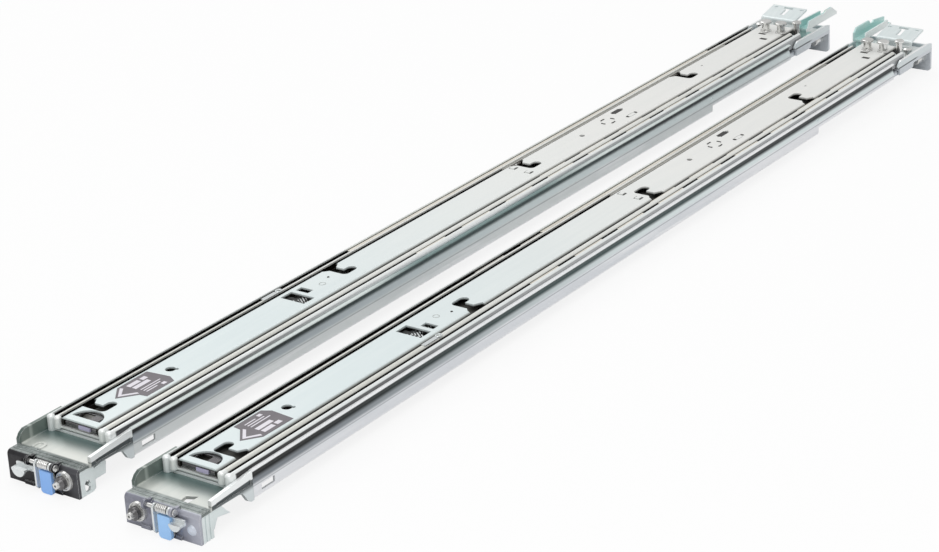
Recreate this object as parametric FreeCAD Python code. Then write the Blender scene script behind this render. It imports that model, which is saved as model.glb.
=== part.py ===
import FreeCAD, Part
import math
import os

# Pair of telescopic ball-bearing slide rails for a one-unit server, closed, lying side by side.
# Each rail lies on its cabinet side: X runs across the rail, Y to the rear of the rack, Z up.
# Every piece is drawn in its own rail's frame, where X is 0 on the rail's centre line, Y is 0 on
# the front face of the mounting plate and Z is 0 on the server panel, and is then put in place.
# The rack's upward direction is the outer edge of each rail: side -1 is the left rail.

V = FreeCAD.Vector

# The pair
RAIL_PITCH = 73.74
STAGGER = 4.5

# Slide members: half widths over the walls, heights below the panel and sheet thicknesses
INNER_HALF = 11.4
INNER_T = 1.2
INNER_DEPTH = 4.1
MIDDLE_HALF = 15.5
MIDDLE_T = 1.0
MIDDLE_TOP = -0.15
MIDDLE_LIP = 2.3
OUTER_HALF = 19.8
OUTER_T = 1.2
OUTER_TOP = -0.3
OUTER_LIP = 1.9
BEND_R = 1.3
SLIDE_FRONT = 25.5
INNER_REAR = 674.0
MIDDLE_REAR = 664.0
OUTER_REAR = 667.0
WEB_REAR = 698.0

# Bearings
BALL_D = 2.8
CAGE_T = 1.0
STRAP_T = 0.45
STRAP_GAP = 0.22
BALL_PITCH = 40.9
CAGE_WINDOW = 15.7
CAGE_WINDOW_DEPTH = 1.9
INNER_CAGE_START = 366.0
INNER_CAGE_PITCHES = 7
OUTER_CAGE_START = 245.0
OUTER_CAGE_PITCHES = 10
POCKET_CLEARANCE = 0.1
CAGE_MARGIN = 0.35

# Openings of the server panel
PANEL_D_FRONT = 29.5
PANEL_D_R = 8.5
HOOK_SLOTS = ((41.0, 2.6, 6.4), (221.0, 5.2, 7.2), (390.5, 5.4, 7.0), (562.0, 5.7, 6.0))
HOOK_SLOT_W = 5.5
HOOK_SLOT_DEPTH_U = -3.0
HOOK_SLOT_RUN = 8.2
HOOK_MOUTH_U = 9.6
LOCK_WINDOW = (-7.0, 8.0, 179.3, 187.8)
LOCK_SLOT = (-0.5, 7.2, 190.5, 195.0)
KEYHOLE = (-1.0, 88.7, 2.6)
KEYHOLE_LOBE = (1.6, 90.4, 1.0)
PANEL_HOLES = ((-1.2, 445.0, 1.6), (-3.4, 583.5, 0.8))
PANEL_SLOTS = ((-5.55, 489.5, 2.3, 11.0), (-0.9, 658.0, 4.6, 1.6), (4.5, 646.5, 4.6, 1.6))

# Studs that carry the server, and the stop stud behind the slides
STUD_PLACES = ((-2.0, 661.0), (8.2, 662.0))
STUD_H = 6.8
STUD_NECK_R = 2.5
STUD_HEAD_R = 3.7
STUD_HEAD_H = 1.3
STUD_BASE_H = 0.7
STOP_STUD = (14.3, WEB_REAR - 26.5)
STOP_STUD_TOP = 5.4
STOP_STUD_R = 2.0
STOP_STUD_HEAD_R = 3.0

# Front bracket
PLATE_W = 42.6
PLATE_SHIFT = 0.5
PLATE_T = 1.5
PLATE_BOTTOM = -22.3
FLOOR_FRONT = 8.5
RIB_H = 0.5
TALL_WALL_TOP = -1.7
TALL_WALL_FRONT = 6.5
LOW_WALL_FRONT_TOP = -4.8
LOW_WALL_REAR_TOP = -2.7
BRACKET_REAR = 36.0
BRACKET_WALL_BOTTOM = -16.8
RIB_PLACES = (3.6, 6.0)
FLOOR_TONGUE = 96.0
MOUNT_PIN_U = -13.0
MOUNT_PIN_Z = -14.7
MOUNT_PIN_R = 3.1
MOUNT_PIN_REACH = 6.4
MOUNT_COLLAR_R = 4.8
MOUNT_COLLAR_BORE_R = 4.0
MOUNT_COLLAR_H = 1.3
LOWER_TABS = ((-11.9, -6.3), (5.3, 11.2))
LOW_WALL_BAR = 2.6
FLOOR_LOOP = (-11.4, 9.9, 6.2, 7.8)
FLOOR_NOTCH = ((5.2, 7.6), (4.7, 11.5), (9.9, 14.0), (9.6, 7.1))
PLATE_DOME = (17.0, -16.0, 2.6)
GUARD_T = 1.2
GUARD_REAR = 11.0
GUARD_HOLE = (5.95, -18.05, 1.75, 1.0)
LEFT_GUARD_TAB = ((10.1, -11.9), (17.4, -10.7), (19.3, -11.6), (18.4, -17.2), (11.2, -17.4))
RIGHT_GUARD_TAB = ((8.0, -9.8), (14.8, -9.8), (18.1, -13.6), (20.5, -15.7), (12.0, -14.1),
                   (9.4, -18.7), (8.0, -18.7))

# Front latch
LATCH_PIVOT_Y = -2.4
LATCH_PIVOT_Z = -8.3
LATCH_PIN_R = 1.0
LATCH_PIN_CLEARANCE = 0.06
LATCH_PIN_ENDS = (-7.9, 10.6)
EAR_X = (-6.4, 9.1)
EAR_T = 1.2
EAR_R = 2.2
LEVER_T = 1.0
LEVER_LEFT = -1.2
LEVER_RIGHT = 8.1
LEVER_GAP = 1.2
LEVER_BOTTOM = -20.4
CHEEK_FRONT = -4.5
CHEEK_TOP = -6.3
TAB_X = (1.2, 8.3)
TAB_TOP = -10.7
TAB_T = 1.5
TAB_BOTTOM = -21.9
ARM_TOP = -11.0
ARM_BOTTOM = -13.7
HOOK_U = {-1: (6.5, 14.4), 1: (8.9, 15.1)}
HOOK_TOP = -12.5
HOOK_T = 1.1
HOOK_REACH = 5.5

# Roll-formed channel around the cabinet member
CHANNEL_HALF = 21.8
CHANNEL_T = 1.1
CHANNEL_TOP = -2.5
CHANNEL_BAND_H = 1.1
GROOVE_DEPTH = 1.3
GROOVE_BOTTOM = -5.8
SLOPE_BOTTOM = -9.5
CHANNEL_BOTTOM = -16.2
CHANNEL_STEP_Y = 553.0
CHANNEL_REAR = 650.0
CHANNEL_REAR_BOTTOM = -12.2
CHANNEL_CLEARANCE = 0.15
SIDE_WINDOW = (41.5, 50.5, -14.2, -11.2)

# Rear bracket, which slides in the channel
TONGUE_FRONT = 290.0
TONGUE_CLEARANCE = 0.35
TONGUE_T = 1.1
HEAD_FRONT = 657.0
HEAD_OPEN_Y = 676.0
HEAD_TOP = -3.0
HEAD_BAND_BOTTOM = -7.5
HEAD_BOTTOM = -12.2
REAR_FACE = 702.0
FLANGE_T = 1.6
FLANGE_TOP = -5.7
FLANGE_BOTTOM = -22.3
REAR_PIN_U = 15.875
REAR_PIN_Z = -13.6
REAR_PIN_R = 3.1
REAR_PIN_REACH = 8.0
REAR_PIN_BARREL = 9.5

# Rear latch
REAR_LATCH_Y = 693.5
REAR_LATCH_Z = -16.2
REAR_LATCH_PIN_R = 1.2
REAR_LATCH_X = (-2.5, 2.5)
REAR_EAR_X = (-9.0, 9.0)

# Plates behind the slides
PLATE_Z = 0.0
PLATE_SHEET = 1.2
T_PLATE_U = (-6.9, 17.2)
T_PLATE_Y = (WEB_REAR - 15.0, WEB_REAR + 1.0)
T_PLATE_FRONT_Z = 1.0
T_PLATE_REAR_Z = 4.2
T_PLATE_APRON = -1.4
T_STEM_U = (3.8, 6.7)
T_BAR_U = (1.9, 8.4)
CABLE_CHANNEL_U = (-19.4, -13.4)
CABLE_CHANNEL_Y = (WEB_REAR - 23.0, WEB_REAR + 18.0)
CABLE_WALL_TALL = 6.8
CABLE_WALL_MIDDLE = 4.2
CABLE_WALL_LOW = 2.9

# Rivets that hold the cabinet member in the channel
RIVET_PLACES = (120.0, 180.0, 240.0)
RIVET_R = 2.0
RIVET_HEAD_R = 3.4
RIVET_HEAD_H = 0.9
REAR_SCREW = (16.2, WEB_REAR - 19.0)
REAR_SCREW_R = 1.4

# Heights that follow from the sheets and their running gaps
MIDDLE_WEB_TOP = -INNER_DEPTH - 2 * STRAP_GAP - STRAP_T
MIDDLE_WEB_BOTTOM = MIDDLE_WEB_TOP - MIDDLE_T
OUTER_WEB_TOP = MIDDLE_WEB_BOTTOM - 2 * STRAP_GAP - STRAP_T
OUTER_WEB_BOTTOM = OUTER_WEB_TOP - OUTER_T
FLOOR_TOP = OUTER_WEB_BOTTOM - 0.05
CHANNEL_WEB_BOTTOM = FLOOR_TOP - CHANNEL_T
TONGUE_TOP = CHANNEL_WEB_BOTTOM - TONGUE_CLEARANCE
INNER_ROW_X = (INNER_HALF + MIDDLE_HALF - MIDDLE_T) / 2
OUTER_ROW_X = (MIDDLE_HALF + OUTER_HALF - OUTER_T) / 2
INNER_ROW_Z = MIDDLE_TOP - MIDDLE_T - CAGE_MARGIN - BALL_D / 2
OUTER_ROW_Z = OUTER_TOP - OUTER_T - 2 * CAGE_MARGIN - BALL_D / 2
CHANNEL_INNER = OUTER_HALF + CHANNEL_CLEARANCE
REST_Z = -PLATE_BOTTOM
Y_MIDDLE = (CABLE_CHANNEL_Y[1] - MOUNT_PIN_REACH) / 2


def box(x0, x1, y0, y1, z0, z1):
    corner = V(min(x0, x1), min(y0, y1), min(z0, z1))
    return Part.makeBox(abs(x1 - x0), abs(y1 - y0), abs(z1 - z0), corner)


def rod_x(x0, x1, y, z, r):
    return Part.makeCylinder(r, abs(x1 - x0), V(min(x0, x1), y, z), V(1, 0, 0))


def rod_y(x, y0, y1, z, r):
    return Part.makeCylinder(r, abs(y1 - y0), V(x, min(y0, y1), z), V(0, 1, 0))


def rod_z(x, y, z0, z1, r):
    return Part.makeCylinder(r, abs(z1 - z0), V(x, y, min(z0, z1)), V(0, 0, 1))


def prism_along_x(points, x0, x1):
    wire = Part.makePolygon([V(x0, y, z) for y, z in points + points[:1]])
    return Part.Face(wire).extrude(V(x1 - x0, 0, 0))


def prism_along_y(points, y0, y1):
    wire = Part.makePolygon([V(x, y0, z) for x, z in points + points[:1]])
    return Part.Face(wire).extrude(V(0, y1 - y0, 0))


def prism_along_z(points, z0, z1):
    wire = Part.makePolygon([V(x, y, z0) for x, y in points + points[:1]])
    return Part.Face(wire).extrude(V(0, 0, z1 - z0))


def sheet_profile(path, thickness, radius, lift):
    """Face of a bent sheet: its centre line, with a round bend at each inner point."""
    points = [FreeCAD.Vector(a, b, 0) for a, b in path]
    lines = {1: [], -1: []}
    for sign in lines:
        shift = sign * thickness / 2
        start = None
        for i, point in enumerate(points):
            before = (point - points[i - 1]).normalize() if i else None
            after = (points[i + 1] - point).normalize() if i + 1 < len(points) else None
            if before is None:
                start = point + V(-after.y, after.x, 0) * shift
                continue
            if after is None:
                end = point + V(-before.y, before.x, 0) * shift
                lines[sign].append((start, None, end))
                continue
            turn = before.getAngle(after)
            left = before.cross(after).z > 0
            reach = radius * math.tan(turn / 2)
            inward = (after - before).normalize()
            centre = point + inward * (radius / math.cos(turn / 2))
            own = radius - shift if left else radius + shift
            first = point - before * reach + V(-before.y, before.x, 0) * shift
            last = point + after * reach + V(-after.y, after.x, 0) * shift
            lines[sign].append((start, None, first))
            lines[sign].append((first, centre - inward * own, last))
            start = last
    edges = []
    for start, middle, end in lines[1] + [(e, m, s) for s, m, e in reversed(lines[-1])]:
        if edges and (edges[-1][2] - start).Length > 1e-6:
            edges.append((edges[-1][2], None, start))
        edges.append((start, middle, end))
    edges.append((edges[-1][2], None, edges[0][0]))
    shapes = []
    for start, middle, end in edges:
        a, b = lift(start), lift(end)
        curve = Part.LineSegment(a, b) if middle is None else Part.Arc(a, lift(middle), b)
        shapes.append(curve.toShape())
    return Part.Face(Part.Wire(shapes))


def bent_along_y(path, thickness, radius, y0, y1):
    face = sheet_profile(path, thickness, radius, lambda p: V(p.x, y0, p.y))
    return face.extrude(V(0, y1 - y0, 0))


def bent_along_x(path, thickness, radius, x0, x1):
    face = sheet_profile(path, thickness, radius, lambda p: V(x0, p.x, p.y))
    return face.extrude(V(x1 - x0, 0, 0))


def rounded_slot(x, y, width, length, z0, z1):
    """Slot with round ends, width along X and length along Y."""
    r = min(width, length) / 2
    if length >= width:
        ends = (y - length / 2 + r, y + length / 2 - r)
        body = box(x - r, x + r, ends[0], ends[1], z0, z1)
        return body.fuse([rod_z(x, end, z0, z1, r) for end in ends])
    ends = (x - width / 2 + r, x + width / 2 - r)
    body = box(ends[0], ends[1], y - r, y + r, z0, z1)
    return body.fuse([rod_z(end, y, z0, z1, r) for end in ends])


def turned_along_x(profile, x, y, z):
    """Solid of revolution about a line along X: profile holds (distance along, radius)."""
    points = [V(x + a, y, z + r) for a, r in profile]
    wire = Part.makePolygon(points + points[:1])
    return Part.Face(wire).revolve(V(x, y, z), V(1, 0, 0), 360)


def turned_along_y(profile, x, y, z):
    points = [V(x, y + a, z + r) for a, r in profile]
    wire = Part.makePolygon(points + points[:1])
    return Part.Face(wire).revolve(V(x, y, z), V(0, 1, 0), 360)


def turned_along_z(profile, x, y, z):
    points = [V(x + r, y, z + a) for a, r in profile]
    wire = Part.makePolygon(points + points[:1])
    return Part.Face(wire).revolve(V(x, y, z), V(0, 0, 1), 360)


def hook_slot(side, throat, front, rear):
    """J-shaped slot: it enters from the upper edge, crosses the panel and runs to the rear."""
    half = HOOK_SLOT_W / 2
    far = HOOK_SLOT_DEPTH_U
    edge = INNER_HALF + 1.0
    tip = throat + HOOK_SLOT_RUN - half
    mouth = ((HOOK_MOUTH_U - 2.2, throat - half), (HOOK_MOUTH_U, throat - front),
             (edge, throat - front), (edge, throat + rear), (HOOK_MOUTH_U, throat + rear),
             (HOOK_MOUTH_U - 2.2, throat + half))
    across = ((far + half, throat - half),) + mouth + ((far + half, throat + half),)
    top, bottom = 1.0, -INNER_DEPTH - 1.0
    cut = prism_along_z([(side * u, y) for u, y in across], bottom, top)
    run = box(side * far, side * (far + HOOK_SLOT_W), throat, tip, bottom, top)
    corner = rod_z(side * (far + half), throat, bottom, top, half)
    end = rod_z(side * (far + half), tip, bottom, top, half)
    return cut.fuse([run, corner, end])


def inner_member(side):
    """Server member: shallow channel with its web up, and the openings of its panel."""
    x = INNER_HALF - INNER_T / 2
    z = -INNER_T / 2
    path = ((-x, -INNER_DEPTH), (-x, z), (x, z), (x, -INNER_DEPTH))
    body = bent_along_y(path, INNER_T, BEND_R, SLIDE_FRONT, INNER_REAR)
    low, high = -INNER_T - 0.5, 1.0
    disc = rod_z(0, PANEL_D_FRONT, low, high, PANEL_D_R)
    window = disc.common(box(-PANEL_D_R, PANEL_D_R, PANEL_D_FRONT, PANEL_D_FRONT + PANEL_D_R,
                             low, high))
    cuts = [window]
    for throat, front, rear in HOOK_SLOTS:
        cuts.append(hook_slot(side, throat, front, rear))
    for u0, u1, y0, y1 in (LOCK_WINDOW, LOCK_SLOT):
        cuts.append(box(side * u0, side * u1, y0, y1, low, high))
    for hole_x, hole_y, r in (KEYHOLE, KEYHOLE_LOBE) + PANEL_HOLES:
        cuts.append(rod_z(hole_x, hole_y, low, high, r))
    for slot_x, slot_y, width, length in PANEL_SLOTS:
        cuts.append(rounded_slot(slot_x, slot_y, width, length, low, high))
    return body.cut(cuts)


def channel_member(half, thickness, top, lip, web_bottom, y0, y1):
    """Rolled member with its web down and both edges turned inwards over the balls."""
    wall = half - thickness / 2
    edge = half - lip
    z_top = top - thickness / 2
    z_web = web_bottom + thickness / 2
    path = ((-edge, z_top), (-wall, z_top), (-wall, z_web), (wall, z_web), (wall, z_top),
            (edge, z_top))
    radius = min(BEND_R, (lip - thickness / 2) * 0.9)
    return bent_along_y(path, thickness, radius, y0, y1)


def end_stop(half, reach, web_bottom, top):
    """Front ends of a member's walls, formed to round posts with a domed top."""
    posts = []
    r = reach / 2
    for sign in (-1, 1):
        post = rod_z(sign * (half - r), SLIDE_FRONT, web_bottom, top, r)
        rim = [edge for edge in post.Edges if edge.Closed and edge.Vertexes[0].Z > top - 1e-6]
        posts.append(post.makeFillet(r * 0.7, rim))
    return posts


def middle_member(side):
    body = channel_member(MIDDLE_HALF, MIDDLE_T, MIDDLE_TOP, MIDDLE_LIP, MIDDLE_WEB_BOTTOM,
                          SLIDE_FRONT, MIDDLE_REAR)
    reach = MIDDLE_HALF - INNER_HALF - 0.45
    stops = end_stop(MIDDLE_HALF, reach, MIDDLE_WEB_BOTTOM, MIDDLE_TOP)
    return body.fuse(stops).removeSplitter()


def outer_member(side):
    body = channel_member(OUTER_HALF, OUTER_T, OUTER_TOP, OUTER_LIP, OUTER_WEB_BOTTOM,
                          SLIDE_FRONT, OUTER_REAR)
    reach = OUTER_HALF - MIDDLE_HALF - 0.45
    stops = end_stop(OUTER_HALF, reach, OUTER_WEB_BOTTOM, OUTER_TOP)
    tail = box(-OUTER_HALF + BEND_R, OUTER_HALF - BEND_R, OUTER_REAR, WEB_REAR,
               OUTER_WEB_BOTTOM, OUTER_WEB_TOP)
    body = body.fuse(stops + [tail]).removeSplitter()
    low, high = OUTER_WEB_BOTTOM - 1, OUTER_WEB_TOP + 1
    holes = [rod_z(0, y, low, high, RIVET_R) for y in RIVET_PLACES]
    holes.append(rod_z(side * REAR_SCREW[0], REAR_SCREW[1], low, high, REAR_SCREW_R))
    return body.cut(holes)


def ball_cage(row_x, row_z, strap_top, start, pitches):
    """Bearing cage: two pierced side strips joined by thin straps under the members."""
    end = start + pitches * BALL_PITCH - (BALL_PITCH - CAGE_WINDOW)
    top = row_z + BALL_D / 2 + 0.15
    bottom = strap_top - STRAP_T
    pieces = []
    for sign in (-1, 1):
        pieces.append(box(sign * (row_x - CAGE_T / 2), sign * (row_x + CAGE_T / 2), start, end,
                          bottom, top))
    for y in (start, (start + end) / 2, end - 8.0):
        pieces.append(box(-row_x, row_x, y, y + 8.0, bottom, strap_top))
    body = pieces[0].fuse(pieces[1:]).removeSplitter()
    cuts = []
    for i in range(1, pitches):
        y = start + i * BALL_PITCH - (BALL_PITCH - CAGE_WINDOW)
        for sign in (-1, 1):
            cuts.append(box(sign * (row_x - CAGE_T), sign * (row_x + CAGE_T), y - CAGE_WINDOW,
                            y, top - CAGE_WINDOW_DEPTH, top + 1))
    for y in ball_places(start, pitches):
        for sign in (-1, 1):
            cuts.append(rod_x(sign * (row_x - CAGE_T), sign * (row_x + CAGE_T), y, row_z,
                              BALL_D / 2 + POCKET_CLEARANCE))
    return body.cut(cuts)


def ball_places(start, pitches):
    offset = (BALL_PITCH - CAGE_WINDOW) / 2
    return [start + i * BALL_PITCH - offset for i in range(1, pitches)]


def ball_row(row_x, row_z, start, pitches):
    balls = []
    for y in ball_places(start, pitches):
        for sign in (-1, 1):
            balls.append(Part.makeSphere(BALL_D / 2, V(sign * row_x, y, row_z)))
    return Part.makeCompound(balls)


def inner_cage(side):
    return ball_cage(INNER_ROW_X, INNER_ROW_Z, -INNER_DEPTH - STRAP_GAP, INNER_CAGE_START,
                     INNER_CAGE_PITCHES)


def inner_balls(side):
    return ball_row(INNER_ROW_X, INNER_ROW_Z, INNER_CAGE_START, INNER_CAGE_PITCHES)


def outer_cage(side):
    return ball_cage(OUTER_ROW_X, OUTER_ROW_Z, MIDDLE_WEB_BOTTOM - STRAP_GAP, OUTER_CAGE_START,
                     OUTER_CAGE_PITCHES)


def outer_balls(side):
    return ball_row(OUTER_ROW_X, OUTER_ROW_Z, OUTER_CAGE_START, OUTER_CAGE_PITCHES)


def plate_span(side):
    centre = side * PLATE_SHIFT
    return centre - PLATE_W / 2, centre + PLATE_W / 2


def front_bracket(side):
    """Mounting plate, ribbed bend and floor from one sheet, with a tall and a low side wall."""
    left, right = plate_span(side)
    mid = PLATE_T / 2
    floor_z = FLOOR_TOP - PLATE_T / 2
    path = ((mid, PLATE_BOTTOM), (mid, floor_z), (FLOOR_TONGUE, floor_z))
    wide = CHANNEL_HALF
    body = bent_along_x(path, PLATE_T, 1.4, -wide, wide)
    ribs = []
    for y in RIB_PLACES:
        ribs.append(rod_x(left + 1.0, right - 1.0, y, FLOOR_TOP - 0.35, RIB_H + 0.35))
    body = body.fuse(ribs)
    tongue_half = CHANNEL_INNER - CHANNEL_CLEARANCE
    outline = ((left, -50), (right, -50), (right, TALL_WALL_FRONT), (wide, TALL_WALL_FRONT + 2),
               (wide, BRACKET_REAR), (tongue_half, BRACKET_REAR), (tongue_half, FLOOR_TONGUE),
               (-tongue_half, FLOOR_TONGUE), (-tongue_half, BRACKET_REAR), (-wide, BRACKET_REAR),
               (-wide, TALL_WALL_FRONT + 2), (left, TALL_WALL_FRONT))
    body = body.common(prism_along_z(list(outline), -60, 20))
    wall = CHANNEL_HALF - CHANNEL_INNER
    jog = ((26.0, FLOOR_TOP - 1.8), (29.0, FLOOR_TOP - 2.6), (32.0, BRACKET_WALL_BOTTOM + 1.2),
           (34.0, BRACKET_WALL_BOTTOM), (BRACKET_REAR, BRACKET_WALL_BOTTOM))
    tall = [(TALL_WALL_FRONT + 2, FLOOR_TOP - PLATE_T)] + list(jog)
    tall += [(BRACKET_REAR, TALL_WALL_TOP), (TALL_WALL_FRONT + 4.0, TALL_WALL_TOP),
             (TALL_WALL_FRONT + 1.6, TALL_WALL_TOP - 1.4), (TALL_WALL_FRONT, TALL_WALL_TOP - 3.6),
             (TALL_WALL_FRONT, FLOOR_TOP - PLATE_T / 2)]
    low = [(FLOOR_FRONT, FLOOR_TOP - PLATE_T)] + list(jog)
    low += [(BRACKET_REAR, LOW_WALL_REAR_TOP), (FLOOR_FRONT, LOW_WALL_FRONT_TOP)]
    walls = [prism_along_x(tall, -wide, -wide + wall), prism_along_x(low, wide - wall, wide)]
    tabs = []
    for x0, x1 in LOWER_TABS:
        tabs.append(box(x0, x1, -0.7, mid, PLATE_BOTTOM, PLATE_BOTTOM + 1.8))
    body = body.fuse(walls + latch_ears() + tabs).removeSplitter()
    hole = rod_x(LATCH_PIN_ENDS[0] - 5, LATCH_PIN_ENDS[1] + 5, LATCH_PIVOT_Y, LATCH_PIVOT_Z,
                 LATCH_PIN_R)
    pin_hole = rod_y(side * MOUNT_PIN_U, -1, PLATE_T + 1, MOUNT_PIN_Z, MOUNT_PIN_R)
    groove = low_wall_groove(wide)
    body = body.cut([hole, pin_hole, groove])
    if side < 0:
        return body.fuse(floor_loop()).removeSplitter()
    notch = prism_along_z(list(FLOOR_NOTCH), FLOOR_TOP - 3, FLOOR_TOP + 3)
    x, z, r = PLATE_DOME
    dome = turned_along_y(((mid, 0.0), (mid, r), (0.0, r), (-0.7, r * 0.75), (-1.1, 0.0)), x, 0, z)
    return body.cut(notch).fuse(dome).removeSplitter()


def latch_ears():
    """Two round-nosed ears that carry the latch's pivot pin above the plate's bend."""
    ears = []
    for x in EAR_X:
        x0, x1 = x - EAR_T / 2, x + EAR_T / 2
        ears.append(rod_x(x0, x1, LATCH_PIVOT_Y, LATCH_PIVOT_Z, EAR_R))
        ears.append(box(x0, x1, LATCH_PIVOT_Y, PLATE_T + 1.0, LATCH_PIVOT_Z - EAR_R,
                        LATCH_PIVOT_Z + EAR_R * 0.6))
    return ears


def low_wall_groove(wide):
    """Cut that leaves the low wall's upper edge standing out as a bar."""
    y0, y1 = FLOOR_FRONT + 3.0, BRACKET_REAR - 1.3
    fall = (LOW_WALL_REAR_TOP - LOW_WALL_FRONT_TOP) / (BRACKET_REAR - FLOOR_FRONT)
    top0 = LOW_WALL_FRONT_TOP + fall * (y0 - FLOOR_FRONT) - LOW_WALL_BAR
    top1 = LOW_WALL_FRONT_TOP + fall * (y1 - FLOOR_FRONT) - LOW_WALL_BAR - 0.6
    outline = [(y0, top0), (y1, top1), (y1, FLOOR_TOP - 0.6), (y0, FLOOR_TOP - 0.6)]
    return prism_along_x(outline, wide - 0.5, wide + 1)


def floor_loop():
    """Embossed ring on the left bracket's floor."""
    x, y, width, length = FLOOR_LOOP
    ring = rounded_slot(x, y, width, length, FLOOR_TOP - 0.2, FLOOR_TOP + 0.5)
    inside = rounded_slot(x, y, width - 2.8, length - 2.8, FLOOR_TOP, FLOOR_TOP + 1)
    return ring.cut(inside)


def side_guard(side):
    """Small plate on the photo's right edge of the mounting plate, which guards the latch."""
    x1 = plate_span(side)[1]
    x0 = x1 - GUARD_T
    front = PLATE_T + 0.1
    under = FLOOR_TOP - PLATE_T - 0.12
    if side < 0:
        low = PLATE_BOTTOM + 0.1
        outline = [(front, under - 0.6), (front + 0.6, under), (GUARD_REAR - 0.6, under),
                   (GUARD_REAR, under - 1.8),
                   (GUARD_REAR, low + 1.3), (GUARD_REAR - 1.4, low + 0.2), (front, low)]
        plate = prism_along_x(outline, x0, x1)
        y, z, r, half = GUARD_HOLE
        hole = [rod_x(x0 - 1, x1 + 1, y, z + sign * half, r) for sign in (-1, 1)]
        hole.append(box(x0 - 1, x1 + 1, y - r, y + r, z - half, z + half))
        tab = prism_along_x(list(LEFT_GUARD_TAB), x0 - 0.6, x0 + 0.6)
        pin = rod_x(x0 - 3.0, x1 - 0.3, y + r, z, 0.9)
        return plate.cut(hole).fuse([tab, pin]).removeSplitter()
    outline = [(front, under - 0.6), (front + 0.6, under), (GUARD_REAR - 2.5, under),
               (GUARD_REAR - 2.5, PLATE_BOTTOM + 0.1), (front, PLATE_BOTTOM + 0.1)]
    plate = prism_along_x(outline, x0, x1)
    grooves = [box(x1 - 0.4, x1 + 1, y, y + 0.7, PLATE_BOTTOM - 1, under + 1) for y in (3.4, 6.0)]
    tab = prism_along_x(list(RIGHT_GUARD_TAB), x0 - 0.5, x1 - 0.4)
    return plate.cut(grooves).fuse(tab).removeSplitter()


def front_mount_pin(side):
    """Hollow collar and stepped cone that enter the upright's hole."""
    tip = -MOUNT_PIN_REACH
    profile = ((PLATE_T, 0.0), (PLATE_T, MOUNT_PIN_R), (0.0, MOUNT_PIN_R), (-0.02, MOUNT_COLLAR_R),
               (-MOUNT_COLLAR_H, MOUNT_COLLAR_R - 0.3), (-MOUNT_COLLAR_H, MOUNT_COLLAR_BORE_R),
               (-0.6, MOUNT_COLLAR_BORE_R), (-0.6, MOUNT_PIN_R), (tip + 2.6, MOUNT_PIN_R),
               (tip + 1.4, 2.1), (tip + 1.4, 1.7), (tip, 1.5), (tip, 0.6), (tip + 1.4, 0.6),
               (tip + 1.4, 0.0))
    return turned_along_y(profile, side * MOUNT_PIN_U, 0, MOUNT_PIN_Z)


def latch_pivot_pin(side):
    x0, x1 = LATCH_PIN_ENDS
    pin = rod_x(x0, x1, LATCH_PIVOT_Y, LATCH_PIVOT_Z, LATCH_PIN_R - LATCH_PIN_CLEARANCE)
    return pin.fuse(rod_x(x1 - 0.6, x1, LATCH_PIVOT_Y, LATCH_PIVOT_Z, LATCH_PIN_R + 0.5))


def coil(x0, x1, y, z, inside_r, wire):
    """Close-wound spring body: a sleeve with one rounded ring for each turn."""
    turns = max(2, int(abs(x1 - x0) / wire))
    step = (x1 - x0) / turns
    profile = [(0.0, inside_r)]
    for i in range(turns):
        profile.append((i * step, inside_r + wire * 0.45))
        profile.append(((i + 0.5) * step, inside_r + wire))
    profile.append((turns * step, inside_r + wire * 0.45))
    profile.append((turns * step, inside_r))
    return turned_along_x(profile, x0, y, z)


def latch_spring(side):
    return coil(LEVER_LEFT + LEVER_T + 0.3, LEVER_RIGHT - LEVER_T - 0.3, LATCH_PIVOT_Y,
                LATCH_PIVOT_Z, LATCH_PIN_R + 0.1, 1.0)


def front_latch(side):
    """Sprung lever on the pivot pin, with a side arm and the hook that grips the upright."""
    back = -LEVER_GAP
    front = back - LEVER_T
    hub = LATCH_PIN_R + 0.85
    y, z = LATCH_PIVOT_Y, LATCH_PIVOT_Z
    body = box(LEVER_LEFT, LEVER_RIGHT, front, back, LEVER_BOTTOM, z - 2.4)
    cheek = ((back, LEVER_BOTTOM), (CHEEK_FRONT + 0.9, LEVER_BOTTOM),
             (CHEEK_FRONT, LEVER_BOTTOM + 1.2), (CHEEK_FRONT, CHEEK_TOP - 1.6),
             (CHEEK_FRONT + 1.3, CHEEK_TOP), (y, CHEEK_TOP), (y + hub, z), (back, z - 2.4))
    short = ((back, z - 3.4), (front, z - 3.4), (front, z - 2.4), (y - hub, z), (y + hub, z),
             (back, z - 2.4))
    pieces = []
    for outline, x0 in ((cheek, LEVER_LEFT), (short, LEVER_RIGHT - LEVER_T)):
        pieces.append(prism_along_x(list(outline), x0, x0 + LEVER_T))
        pieces.append(rod_x(x0, x0 + LEVER_T, y, z, hub))
    inner_u = LEVER_RIGHT - 1 if side > 0 else -LEVER_LEFT - 1
    pieces.append(box(side * inner_u, side * HOOK_U[side][1], front, back, ARM_BOTTOM, ARM_TOP))
    body = body.fuse(pieces + [latch_hook(side, back)]).removeSplitter()
    hole = rod_x(LEVER_LEFT - 1, LEVER_RIGHT + 1, y, z, LATCH_PIN_R)
    return body.cut(hole)


def latch_hook(side, back):
    """Hook of the latch: a flat shelf that ends in a half-round face turned down."""
    u0, u1 = HOOK_U[side]
    r = (u1 - u0) / 2
    shelf = box(side * u0, side * u1, -HOOK_REACH, back, HOOK_TOP - HOOK_T, HOOK_TOP)
    disc = rod_y(side * (u0 + r), -HOOK_REACH, -HOOK_REACH + HOOK_T, HOOK_TOP, r)
    below = box(side * u0, side * u1, -HOOK_REACH - 1, back, HOOK_TOP - r - 1, HOOK_TOP)
    return shelf.fuse(disc.common(below)).removeSplitter()


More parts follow.
